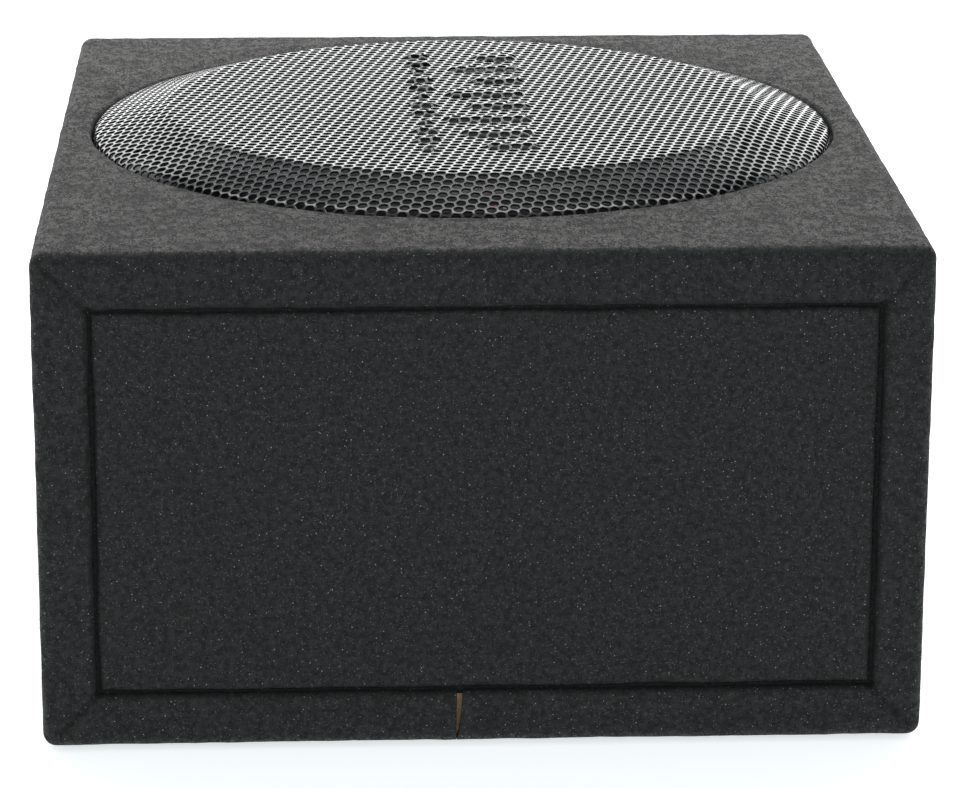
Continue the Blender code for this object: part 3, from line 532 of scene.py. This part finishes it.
def swell(place):
    """Where a point of the wrap lies once its pile stands off the sides and top, less so round the grille."""
    x, y, z = place
    wide = PILE_RIGHT if x > 0 else PILE_LEFT
    x += math.copysign(wide * min(1.0, max(0.0, (abs(x) - 0.135) / 0.018)), x)
    from_hole = min(1.0, max(0.0, (math.hypot(x, y - DRIVER_Y) - HOLE_RADIUS) / 0.010))
    high = min(1.0, max(0.0, (z - 0.158) / (TOP - 0.0024 - 0.158)))
    share = from_hole * from_hole * (3 - 2 * from_hole)
    z += PILE_TOP * high * (PILE_AT_HOLE + (1 - PILE_AT_HOLE) * share)
    return Vector((x, y, z))


def lay_felt(place, normal):
    """Where a point of the carpet lies once the felt's lumps are in it."""
    height = 0.00022 * lumpy(place, 0.020, 1) + 0.00016 * lumpy(place, 0.0065, 5)
    height += 0.00010 * lumpy(place, 0.0030, 9)
    return place + normal * height


def felt_piece(name, verts, faces, hollows, replaces, inward=0.0, backs=()):
    """A carpet piece with lumps on its outside: a bent sheet, or a pad whose back lies at each point's y.

    hollows says how deep in a groove each point is, from 0 to 1; the felt is painted darker there, as shade.
    """
    mesh = bpy.data.meshes.new("scratch")
    mesh.from_pydata([tuple(v) for v in verts], [], faces)
    mesh.update()
    normals = [v.normal.copy() for v in mesh.vertices]
    places = [v.co.copy() for v in mesh.vertices]
    bpy.data.meshes.remove(mesh)
    outside = [lay_felt(p, n) for p, n in zip(places, normals)]
    if not backs:
        folds = [mitre(p) for p in places]
        outside = [swell(p - n * fold) for p, n, fold in zip(outside, normals, folds)]
        # The corner folds are painted darker too, as shade, by how deep they sink.
        hollows = [max(h, fold / 0.0021) for h, fold in zip(hollows, folds)]
    else:
        count = len(outside)
        outside += [Vector((p.x, back, p.z)) for p, back in zip(outside, backs)]
        hollows = hollows * 2
        used = {}
        for face in faces:
            for a, b in zip(face, face[1:] + face[:1]):
                used[(a, b)] = used.get((a, b), 0) + 1
        rims = [(a, b) for a, b in used if (b, a) not in used]
        faces = faces + [tuple(i + count for i in reversed(face)) for face in faces]
        faces += [(b, a, a + count, b + count) for a, b in rims]
    made = piece(name, outside, faces, "carpet", sharp=0, replaces=replaces)
    made.data.attributes.new("hollow", "FLOAT", "POINT").data.foreach_set("value", hollows)
    if inward:
        solid = made.modifiers.new("Thickness", "SOLIDIFY")
        solid.thickness = inward
        solid.offset = -1
    return made


# The carpet's edge round the grille, as (radius, height over the top) going inwards.
HOLE_LIP = (
    (0.1470, 0.0),
    (0.1456, 0.0001),
    (0.1444, 0.0003),
    (0.1433, 0.0005),
    (0.1425, 0.0005),
    (0.1418, 0.0001),
    (0.1413, -0.0007),
    (0.1412, -0.0018),
    (0.1412, -0.0038),
    (0.1412, -0.0062),
)


def make_wrap():
    """The carpet round the box's four sides, with the hole for the grille."""
    stations, first_flat = wrap_stations()
    verts, hollows = [], []
    for inset, y in stations:
        points, begin, end = wrap_loop(inset)
        share = inset / GROOVE_INSET
        near = max(0.0, 1 - (GROOVE_INSET - inset) / 0.005)
        # deep sets the painted shade in the groove, darkest at its bottom.
        deep = max(0.0, 1 - (GROOVE_INSET - inset) / 0.0021)
        for x, z in points:
            place = Vector((x + GROOVE_SHIFT * share, y, z + HALF_Z + GROOVE_LIFT * share))
            wander = near * 0.0007 * lumpy(place, 0.022, 12)
            verts.append(place + Vector((math.copysign(wander, x), 0, math.copysign(wander, z))))
            hollows.append(deep)
    count = len(points)
    rows = range(first_flat, len(stations) - 1 - first_flat)
    columns = range(begin, end)
    faces = []
    for j in range(len(stations) - 1):
        for i in range(count - 1):
            if j in rows and i in columns:
                continue
            a, b = j * count + i, (j + 1) * count + i
            faces.append((a, b, b + 1, a + 1))
    j0, j1 = rows.start, rows.stop
    i0, i1 = columns.start, columns.stop
    border = [j0 * count + i for i in range(i0, i1)]
    border += [j * count + i1 for j in range(j0, j1)]
    border += [j1 * count + i for i in range(i1, i0, -1)]
    border += [j * count + i0 for j in range(j1, j0, -1)]
    steps = 7
    ring = border
    for k in range(1, steps + len(HOLE_LIP)):
        made = []
        for index in border:
            start = verts[index]
            turn = math.atan2(start.y - DRIVER_Y, start.x)
            radius, rise = HOLE_LIP[max(0, k - steps)]
            if k > steps:
                radius += 0.00010 * lumpy((math.cos(turn), math.sin(turn), 0), 0.08, 2)
            edge = Vector((radius * math.cos(turn), DRIVER_Y + radius * math.sin(turn), TOP + rise))
            share = min(1.0, k / steps)
            verts.append(start.lerp(edge, share))
            # Painted shade where the carpet rolls down into the rebate round the grille.
            hollows.append(min(1.0, max(0.0, (-rise - 0.0002) / 0.0012)))
            made.append(len(verts) - 1)
        for a, b, c, d in zip(ring, ring[1:] + ring[:1], made[1:] + made[:1], made):
            faces.append((d, c, b, a))
        ring = made
    return felt_piece("carpet_wrap_felt", verts, faces, hollows, ("carpet_wrap",), inward=FELT)


def end_places(low, high, cuts=()):
    """Grid positions between two edges and the cuts between them, closer together next to each."""
    marks = [low, *cuts, high]
    places = [low - FLANGE, low - 0.0001]
    for start, end in zip(marks, marks[1:]):
        gap = end - start
        near = [n for n in (0.0, 0.0003, 0.0008, 0.0016, 0.0030) if n < gap / 3]
        inner = np.linspace(near[-1], gap - near[-1], max(3, int(gap / GRID)))[1:-1]
        run = near + list(inner) + [gap - n for n in reversed(near[1:])]
        places.extend(start + p for p in run)
    return places + [high, high + 0.0001, high + FLANGE]


def make_end(name, node, low, high, side, hole=None):
    """The carpet let into an end of the box, its edges rounded into the groove and pressed flat in it."""
    low = low + Vector((-0.0001, 0, -0.0001 + GROOVE_LIFT))
    high = high + Vector((2 * GROOVE_SHIFT + 0.0001, 0, 0.0001 + GROOVE_LIFT))
    xs = end_places(low.x, high.x, (hole[0], hole[2]) if hole else ())
    zs = end_places(low.z, high.z, (hole[1], hole[3]) if hole else ())
    face = HALF_Y - 0.0009
    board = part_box("front_panel" if side < 0 else "rear_panel")
    back = max(abs(board[0].y), abs(board[1].y)) + 0.0001
    ledge = max(abs(v.y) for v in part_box("left_panel")) + 0.0001

    verts, hollows, backs = [], [], []
    for z in zs:
        for x in xs:
            gap, radius = min(x - low.x, high.x - x, z - low.z, high.z - z), 0.0018
            if hole:
                from_hole = max(hole[0] - x, x - hole[2], hole[1] - z, z - hole[3])
                if from_hole < gap:
                    gap, radius = from_hole, 0.0008
            sink = radius - math.sqrt(max(0.0, radius**2 - (radius - min(max(gap, 0), radius)) ** 2))
            height = face - sink if gap >= 0 else ledge + 0.0002
            # Painted shade where the felt rounds down into the groove, lighter round the hatch.
            hollows.append(min(1.0, max(0.0, 1 - gap / 0.0013)) * (1 if radius > 0.001 else 0.4))
            backs.append(side * (back if gap > 0.0001 else ledge))
            wander = max(0.0, 1 - max(gap, 0) / 0.012)
            shift = wander * (0.0007 if radius > 0.001 else 0.0001) * lumpy((x, z, side), 0.024, 6)
            verts.append(Vector((x + shift, side * height, z + shift)))
    columns = len(xs)
    faces = []
    for j in range(len(zs) - 1):
        for i in range(columns - 1):
            middle = ((xs[i] + xs[i + 1]) / 2, (zs[j] + zs[j + 1]) / 2)
            if hole and hole[0] < middle[0] < hole[2] and hole[1] < middle[1] < hole[3]:
                continue
            a, b = j * columns + i, (j + 1) * columns + i
            quad = (a, a + 1, b + 1, b)
            faces.append(quad if side < 0 else quad[::-1])
    return felt_piece(name, verts, faces, hollows, (node,), backs=backs)


def make_fuzz(name, carpet, density, seed, keep):
    """Loose fibres on a carpet, so many to a square metre: thin bent spikes, rooted in the felt.

    keep says from the normals of its triangles which of them grow fibres.
    """
    draw = np.random.default_rng(seed)
    mesh = carpet.data
    mesh.calc_loop_triangles()
    places = np.empty(len(mesh.vertices) * 3)
    mesh.vertices.foreach_get("co", places)
    places = places.reshape(-1, 3)
    corners = np.empty(len(mesh.loop_triangles) * 3, int)
    mesh.loop_triangles.foreach_get("vertices", corners)
    corners = corners.reshape(-1, 3)
    a, b, c = (places[corners[:, i]] for i in range(3))
    normal = np.cross(b - a, c - a)
    area = np.linalg.norm(normal, axis=1) / 2
    normal /= np.maximum(area[:, None] * 2, 1e-12)
    area = np.where(keep(normal), area, 0)
    count = int(area.sum() * density)
    chosen = draw.choice(len(area), count, p=area / area.sum())
    u, v = draw.random((2, count, 1))
    flip = u + v > 1
    u, v = np.where(flip, 1 - u, u), np.where(flip, 1 - v, v)
    root = a[chosen] + u * (b - a)[chosen] + v * (c - a)[chosen]
    up = normal[chosen]
    tangent = np.cross(up, draw.normal(size=(count, 3)))
    tangent /= np.linalg.norm(tangent, axis=1)[:, None]
    lift = draw.uniform(0.04, 0.75, (count, 1)) ** 1.4
    length = draw.uniform(0.0007, 0.0023, (count, 1))
    bend = draw.normal(scale=0.45, size=(count, 3))
    heading = tangent + up * lift
    middle = root + heading * length * 0.5
    tip = middle + (heading + bend - up * lift * 0.6) * length * 0.5
    root = root - up * 0.0002
    width = draw.uniform(0.000016, 0.000030, (count, 1))
    side = np.cross(heading, up + 0.3 * tangent)
    side /= np.linalg.norm(side, axis=1)[:, None]
    other = np.cross(heading, side)
    other /= np.linalg.norm(other, axis=1)[:, None]
    rings = []
    for centre, size in ((root, width), (middle, width * 0.9)):
        for turn in (0, 2 * math.pi / 3, 4 * math.pi / 3):
            rings.append(centre + (side * math.cos(turn) + other * math.sin(turn)) * size)
    verts = np.stack([*rings, tip], axis=1).reshape(-1, 3)
    sides = [[0, 1, 4], [0, 4, 3], [1, 2, 5], [1, 5, 4], [2, 0, 3], [2, 3, 5]]
    pattern = np.array(sides + [[3, 4, 6], [4, 5, 6], [5, 3, 6], [0, 2, 1]])
    faces = (pattern[None] + 7 * np.arange(count)[:, None, None]).reshape(-1, 3)
    mesh = bpy.data.meshes.new(name)
    mesh.vertices.add(len(verts))
    mesh.vertices.foreach_set("co", verts.astype(np.float32).ravel())
    mesh.loops.add(faces.size)
    mesh.loops.foreach_set("vertex_index", faces.astype(np.int32).ravel())
    mesh.polygons.add(len(faces))
    mesh.polygons.foreach_set("loop_start", (np.arange(len(faces)) * 3).astype(np.int32))
    mesh.update(calc_edges=True)
    mesh.shade_smooth()
    mesh.materials.append(FIBRE_MATERIAL)
    made = bpy.data.objects.new(name, mesh)
    bpy.context.scene.collection.objects.link(made)
    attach(made, "enclosure")
    return made


# The grille.


def grille_profile():
    """The sheet's outer face: arc lengths, radii and heights from the middle out and down the hem."""
    rise = grille_high.z
    corners = [
        (0.0, rise),
        (CREASE - 0.0024, rise),
        (CREASE - 0.0010, rise - 0.00012),
        (CREASE + 0.0002, rise - 0.00045),
        (CREASE + 0.0016, rise - 0.0010),
        (GRILLE_RADIUS - 0.0036, TOP + 0.0026),
        (GRILLE_RADIUS - 0.0020, TOP + 0.0019),
        (GRILLE_RADIUS - 0.0009, TOP + 0.0010),
        (GRILLE_RADIUS - 0.0003, TOP - 0.0002),
        (GRILLE_RADIUS, TOP - 0.0016),
        (GRILLE_RADIUS, grille_low.z),
    ]
    lengths = [0.0]
    for (r0, z0), (r1, z1) in zip(corners, corners[1:]):
        lengths.append(lengths[-1] + math.hypot(r1 - r0, z1 - z0))
    return np.array(lengths), np.array([r for r, z in corners]), np.array([z for r, z in corners])


def emblem_bars():
    """The raised level bars in the middle of the grille, as (x, y, half length along x, half width)."""
    bars = []
    right_end, long_step, short_step = 0.0245, 0.0215, 0.0142
    for i, millimetres in enumerate((18, 26, 32, 22, 30, 19, 27, 16)):
        half = millimetres / 2000
        bars.append((right_end - half, -0.072 + long_step * i, half, 0.0052 if i % 3 == 1 else 0.0030))
    for i in range(12):
        bars.append((-0.0150, -0.076 + short_step * i, 0.0045 if i % 3 else 0.0020, 0.0021))
    return bars


def emblem_height(x, y, bars):
    """How far the sheet is raised there."""
    height, foot, slope = 0.0, 0.0014, 0.0026
    for cx, cy, half, width in bars:
        dx = max(0.0, abs(x - cx) - half + width)
        off = math.hypot(dx, y - cy) - width
        if off < foot:
            share = min(1.0, (foot - off) / slope)
            height = max(height, EMBOSS * share * share * (3 - 2 * share))
    return height


def make_grille():
    """The punched sheet, in three pieces that meet edge to edge."""
    lengths, radii, heights = grille_profile()
    reach = lengths[-1]
    bars = emblem_bars()
    half_pitch = PITCH / 2
    apothem = half_pitch - BAR / 2

    def on_sheet(x, y, sunk):
        """The point that a place on the flat sheet, measured from its middle, has on the dome."""
        flat = math.hypot(x, y)
        s = min(flat, reach)
        r = float(np.interp(s, lengths, radii))
        z = float(np.interp(s, lengths, heights))
        step = 0.0006
        dr = np.interp(min(s + step, reach), lengths, radii) - np.interp(s - step, lengths, radii)
        dz = np.interp(min(s + step, reach), lengths, heights) - np.interp(s - step, lengths, heights)
        size = math.hypot(dr, dz)
        out, up = -dz / size, dr / size
        if flat < 1e-9:
            return (0.0, DRIVER_Y, z - sunk)
        if abs(x) < EMBLEM_REACH:
            z += emblem_height(x, y, bars)
        r -= out * sunk
        return (x / flat * r, DRIVER_Y + y / flat * r, z - up * sunk)

    span = int(reach / PITCH) + 3
    turn = LATTICE_TURN
    first = (PITCH * math.cos(turn), PITCH * math.sin(turn))
    second = (PITCH * math.cos(turn + math.pi / 3), PITCH * math.sin(turn + math.pi / 3))
    directions = [turn + math.pi / 6 * k for k in range(12)]
    corner_radius = half_pitch / math.cos(math.pi / 6)
    for name, inner, outer in (
        ("grille_face", -1.0, FACE_SPLIT),
        ("grille_shoulder", FACE_SPLIT, SKIRT_SPLIT),
        ("grille_skirt", SKIRT_SPLIT, reach),
    ):
        verts, faces, shared = [], [], {}

        def vertex(x, y, sunk):
            verts.append(on_sheet(x, y, sunk))
            return len(verts) - 1

        def outer_vertex(x, y, sunk):
            key = (round(x * 1e6), round(y * 1e6), sunk)
            if key not in shared:
                shared[key] = vertex(x, y, sunk)
            return shared[key]

        for i in range(-span * 2, span * 2):
            for j in range(-span * 2, span * 2):
                cx = i * first[0] + j * second[0]
                cy = i * first[1] + j * second[1]
                if not inner < math.hypot(cx, cy) <= outer:
                    continue
                rims = [[], [], [], []]
                under = []
                for k, direction in enumerate(directions):
                    dx, dy = math.cos(direction), math.sin(direction)
                    far = corner_radius if k % 2 else half_pitch
                    hole = apothem * (1.085 if k % 2 else 1.0)
                    rims[0].append(outer_vertex(cx + dx * far, cy + dy * far, 0.0))
                    wide = hole + HOLE_EDGE
                    rims[1].append(vertex(cx + dx * wide, cy + dy * wide, 0.00001))
                    rims[2].append(vertex(cx + dx * hole, cy + dy * hole, HOLE_EDGE))
                    rims[3].append(vertex(cx + dx * hole, cy + dy * hole, SHEET))
                    under.append(outer_vertex(cx + dx * far, cy + dy * far, SHEET))
                rims.append(under)
                for upper, lower in zip(rims, rims[1:]):
                    for k in range(12):
                        after = (k + 1) % 12
                        faces.append((upper[k], upper[after], lower[after], lower[k]))
        made = piece(name, verts, faces, "grille_steel")
        if inner < 0:
            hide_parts("grille_mesh")


# The driver.


def radial_weights(obj):
    """Bakes an object's placement into its mesh."""
    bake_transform(obj)


def make_suspension():
    """The rubber roll and the cloth spider."""
    low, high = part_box("surround")
    inner, outer, middle, roll = 0.0862, (high.x - low.x) / 2, 0.099, 0.0090
    sheet = 0.0009
    turns = [math.pi * i / 20 for i in range(21)]
    crest, hollow = (
        [(middle + size * math.cos(a), low.z + size * math.sin(a)) for a in turns]
        for size in (roll + sheet / 2, roll - sheet / 2)
    )
    crest[0] = (crest[0][0] + 0.0004, low.z + sheet)
    crest[-1] = (crest[-1][0] - 0.0004, low.z + sheet)
    profile = [(outer, low.z), (outer, low.z + sheet)] + crest
    profile += [(inner, low.z + sheet), (inner, low.z)] + hollow[::-1]
    shape = bmesh.new()
    turned(shape, profile, 112, at=(0, DRIVER_Y, 0))
    surround = shape_piece("surround_roll", shape, "rubber", body=None, sharp=50)
    radial_weights(surround)
    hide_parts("surround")
    low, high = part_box("spider")
    level = (low.z + high.z) / 2
    cloth = 0.0005
    start, stop, waves = 0.0285, 0.0615, 5
    steps = 60
    upper = [(0.0264, level), (0.0275, level)]
    for i in range(steps + 1):
        share = i / steps
        wave = 0.0017 * math.sin(2 * math.pi * waves * share)
        upper.append((start + (stop - start) * share, level + wave))
    upper += [(0.0628, level), (0.0678, level)]
    profile = [(r, z + cloth / 2) for r, z in upper] + [(r, z - cloth / 2) for r, z in reversed(upper)]
    shape = bmesh.new()
    turned(shape, profile, 72, at=(0, DRIVER_Y, 0))
    spider = shape_piece("spider_cloth_disc", shape, "spider_cloth", body=None, sharp=60)
    radial_weights(spider)
    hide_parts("spider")


def make_leads():
    """The braided leads from the terminals to the cone."""
    for name in ("positive", "negative"):
        node = f"tinsel_lead_{name}"
        shape = bmesh.new()
        shape.from_mesh(nodes[node].data)
        bmesh.ops.remove_doubles(shape, verts=list(shape.verts), dist=1e-6)
        lead = shape_piece(f"{node}_braid", shape, "copper", body=None, sharp=60)
        radial_weights(lead)
        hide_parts(node)


def make_dabs():
    """A dab of red paint from inspection on the driver's gasket, and a small white spot beside it."""
    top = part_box("trim_gasket")[1].z
    for name, x, y, radius, slot, look in (
        ("inspection_dab", 0.0074, -0.0968, 0.0015, "red_plastic", None),
        ("white_spot", 0.0112, -0.0966, 0.0012, "foam", WHITE_PRINT),
    ):
        shape = bmesh.new()
        place = Matrix.Translation((x, y, top)) @ Matrix.Diagonal((1, 1.5, 0.4, 1))
        bmesh.ops.create_icosphere(shape, subdivisions=3, radius=radius, matrix=place)
        for v in shape.verts:
            v.co += Vector((1, 1, 0)) * 0.0004 * lumpy(v.co, 0.002, 4)
        shape_piece(name, shape, slot, look=look)


# The amplifier's panel.


def make_panel_marks():
    """Plain printed tick marks round the knobs and beside the switches."""
    shape = bmesh.new()
    for knob in ("gain_knob", "lowpass_knob", "bass_boost_knob"):
        low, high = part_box(knob)
        centre = Vector(((low.x + high.x) / 2, panel_face, (low.z + high.z) / 2))
        for i in range(11):
            turn = math.radians(-150 + 30 * i)
            long = i % 5 == 0
            near, far = 0.0088, 0.0107 if long else 0.0099
            half = 0.00028 if long else 0.0002
            spin = Matrix.Translation(centre) @ Matrix.Rotation(turn, 4, "Y")
            middle = Matrix.Translation((0, PRINT_LIFT, (near + far) / 2))
            size = Matrix.Diagonal((2 * half, PRINT, far - near, 1))
            bmesh.ops.create_cube(shape, size=1, matrix=spin @ middle @ size)
    for switch in ("auto_on_switch", "phase_switch"):
        low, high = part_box(switch)
        z = (low.z + high.z) / 2
        for dx in (-0.0045, 0.0005, 0.0055):
            size = (0.0004, PRINT, 0.0016)
            x = (low.x + high.x) / 2 + dx - 0.0025
            place = Matrix.Translation((x, panel_face + PRINT_LIFT, z + 0.0046))
            bmesh.ops.create_cube(shape, size=1, matrix=place @ Matrix.Diagonal((*size, 1)))
    shape_piece("panel_tick_marks", shape, "panel_metal", smooth=False, look=WHITE_PRINT)


def make_rca_rings():
    """Coloured insulators in the phono inputs."""
    for node, look in (("rca_sleeve_left", WHITE_PRINT), ("rca_sleeve_right", None)):
        low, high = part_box(node)
        shape = bmesh.new()
        at = ((low.x + high.x) / 2, high.y - 0.0006, (low.z + high.z) / 2)
        profile = [(0.0017, -0.0010), (0.0034, -0.0010), (0.0034, 0.0)]
        profile += [(0.0030, 0.0002), (0.0019, 0.0002), (0.0017, 0.0)]
        turned(shape, profile, 40, at=at, axis="Y")
        shape_piece(f"{node}_insulator", shape, "red_plastic", look=look)


def make_screw_heads():
    """Pan heads with a cross recess over the CAD screws."""
    for i in range(1, 5):
        node = f"amp_screw_{i}"
        low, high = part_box(node)
        centre = Vector(((low.x + high.x) / 2, high.y, (low.z + high.z) / 2))
        screw_head(node, centre, "Y", 0.0036, 0.0024, 0.0160, 0.0015)
    for i in range(1, 9):
        node = f"driver_screw_{i}"
        low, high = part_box(node)
        centre = Vector(((low.x + high.x) / 2, (low.y + high.y) / 2, high.z))
        screw_head(node, centre, "Z", 0.0042, 0.0027, high.z - low.z - 0.0028, 0.0020)


def screw_head(node, top, axis, radius, height, reach, shank):
    """A screw with a domed head, a cross recess and a thread, its head's top at a point."""
    turns, segments, recess = 9, 48, 0.0012
    profile = [(0.0002, -height - reach)]
    for i in range(turns):
        z = -height - reach * (1 - i / turns)
        taper = min(1.0, (i + 0.6) / 2.5)
        profile += [(shank * 0.78 * taper, z), (shank * taper, z + reach / turns * 0.45)]
    profile += [(shank * 0.8, -height), (radius * 0.97, -height)]
    profile += [(radius * k / 12, -height * 0.65 * (k / 12) ** 2.4) for k in range(12, 0, -1)]
    turn = Matrix.Rotation(-math.pi / 2, 4, "X") if axis == "Y" else Matrix.Identity(4)
    place = Matrix.Translation(top) @ turn
    verts, faces = [], []
    for r, z in profile:
        for i in range(segments):
            a = 2 * math.pi * i / segments
            u, v = abs(r * math.cos(a - 0.4)), abs(r * math.sin(a - 0.4))
            in_cross = z > -height * 0.6 and min(u, v) < radius * 0.13 and max(u, v) < radius * 0.6
            verts.append(place @ Vector((r * math.cos(a), r * math.sin(a), z - recess * in_cross)))
    for j in range(len(profile) - 1):
        for i in range(segments):
            a, b = j * segments + i, j * segments + (i + 1) % segments
            faces.append((a, b, b + segments, a + segments))
    last = (len(profile) - 1) * segments
    verts.append(place @ Vector((0, 0, -recess)))
    faces += [(last + i, last + (i + 1) % segments, len(verts) - 1) for i in range(segments)]
    faces.append(tuple(reversed(range(segments))))
    piece(f"{node}_threaded", verts, faces, "black_steel", sharp=35, replaces=(node,))


# The studio.


def make_studio():
    """A pale floor, a bright panel behind, a softbox overhead, and the camera."""
    size = 12
    mesh = bpy.data.meshes.new("studio_floor")
    corners = [(-size, -size, 0), (size, -size, 0), (size, size, 0), (-size, size, 0)]
    mesh.from_pydata(corners, [], [(0, 1, 2, 3)])
    mesh.materials.append(studio_floor())
    floor = bpy.data.objects.new("studio_floor", mesh)
    floor.location.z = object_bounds()[0].z - 0.0002
    bpy.context.scene.collection.objects.link(floor)
    look_at = Vector((0, 0, 0.1))
    for name, at, width, height, radiance, tint in (
        ("back_panel", (0.0, 0.85, 0.40), 2.6, 0.62, 2.95, (1.0, 1.0, 1.0)),
        ("overhead", (0.0, 0.36, 0.91), 1.3, 0.28, 4.4, (1.0, 0.985, 0.965)),
    ):
        light = bpy.data.lights.new(name, "AREA")
        light.shape = "RECTANGLE"
        light.size, light.size_y = width, height
        light.energy = radiance * math.pi * width * height
        light.color = tint
        lamp = bpy.data.objects.new(name, light)
        lamp.location = at
        lamp.rotation_euler = (look_at - Vector(at)).to_track_quat("-Z", "Y").to_euler()
        lamp.visible_camera = False
        bpy.context.scene.collection.objects.link(lamp)
    world = bpy.data.worlds.new("studio")
    world.use_nodes = True
    world.node_tree.nodes["Background"].inputs["Color"].default_value = (0.96, 0.99, 1.0, 1)
    world.node_tree.nodes["Background"].inputs["Strength"].default_value = 0.75
    scene = bpy.context.scene
    scene.world = world
    scene.view_settings.view_transform = "Standard"
    data = bpy.data.cameras.new("camera")
    data.lens = 148.4
    data.sensor_width = 36
    data.clip_start, data.clip_end = 0.05, 60
    camera = bpy.data.objects.new("camera", data)
    camera.location = (-0.0597, -1.4633, 0.5282)
    camera.rotation_euler = Euler([math.radians(a) for a in (72.77, -0.186, -2.539)])
    scene.collection.objects.link(camera)
    scene.camera = camera


panel_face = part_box("power_led")[0].y + LAMP_DEPTH
FIBRE_MATERIAL = fibre()
WHITE_PRINT = painted("white_print", (0.75, 0.75, 0.73), 0.5)

for node, obj in nodes.items():
    slot = next(p["material_slot"] for p in frame["record"]["subparts"] if p["node"] == node)
    for holder in obj.material_slots:
        holder.material = BY_SLOT[slot]

wrap = make_wrap()
front = make_end("front_carpet_felt", "front_carpet", front_low, front_high, -1)
hatch = (panel_low.x + TUCK, panel_low.z + TUCK, panel_high.x - TUCK, panel_high.z - TUCK)
rear = make_end("rear_carpet_felt", "rear_carpet", rear_low, rear_high, 1, hatch)
make_fuzz("fuzz_top", wrap, 330000, 11, lambda n: n[:, 2] > 0.3)
make_fuzz("fuzz_sides", wrap, 110000, 12, lambda n: (n[:, 2] <= 0.3) & (n[:, 2] > -0.3) & (n[:, 1] > -0.5))
make_fuzz("fuzz_border", wrap, 300000, 13, lambda n: (n[:, 2] <= 0.3) & (n[:, 1] <= -0.5))
make_fuzz("fuzz_front", front, 260000, 14, lambda n: n[:, 1] < -0.3)
make_fuzz("fuzz_rear", rear, 200000, 15, lambda n: n[:, 1] > 0.3)
make_grille()
make_suspension()
make_leads()
make_dabs()
for node, slot, width, body in (
    ("amp_panel", "panel_metal", 0.0004, "enclosure"),
    ("gain_knob", "black_plastic", 0.0003, "gain"),
    ("lowpass_knob", "black_plastic", 0.0003, "lowpass"),
    ("bass_boost_knob", "black_plastic", 0.0003, "bass_boost"),
    ("auto_on_switch", "black_plastic", 0.0003, "auto_on"),
    ("phase_switch", "black_plastic", 0.0003, "phase"),
    ("high_level_socket", "black_plastic", 0.0002, "enclosure"),
    ("power_terminal_block", "black_plastic", 0.0003, "enclosure"),
    ("fuse_holder", "black_plastic", 0.0003, "enclosure"),
    ("fuse", "fuse_plastic", 0.0003, "fuse_body"),
):
    softened(node, slot, width, body)
make_panel_marks()
make_rca_rings()
make_screw_heads()
make_studio()
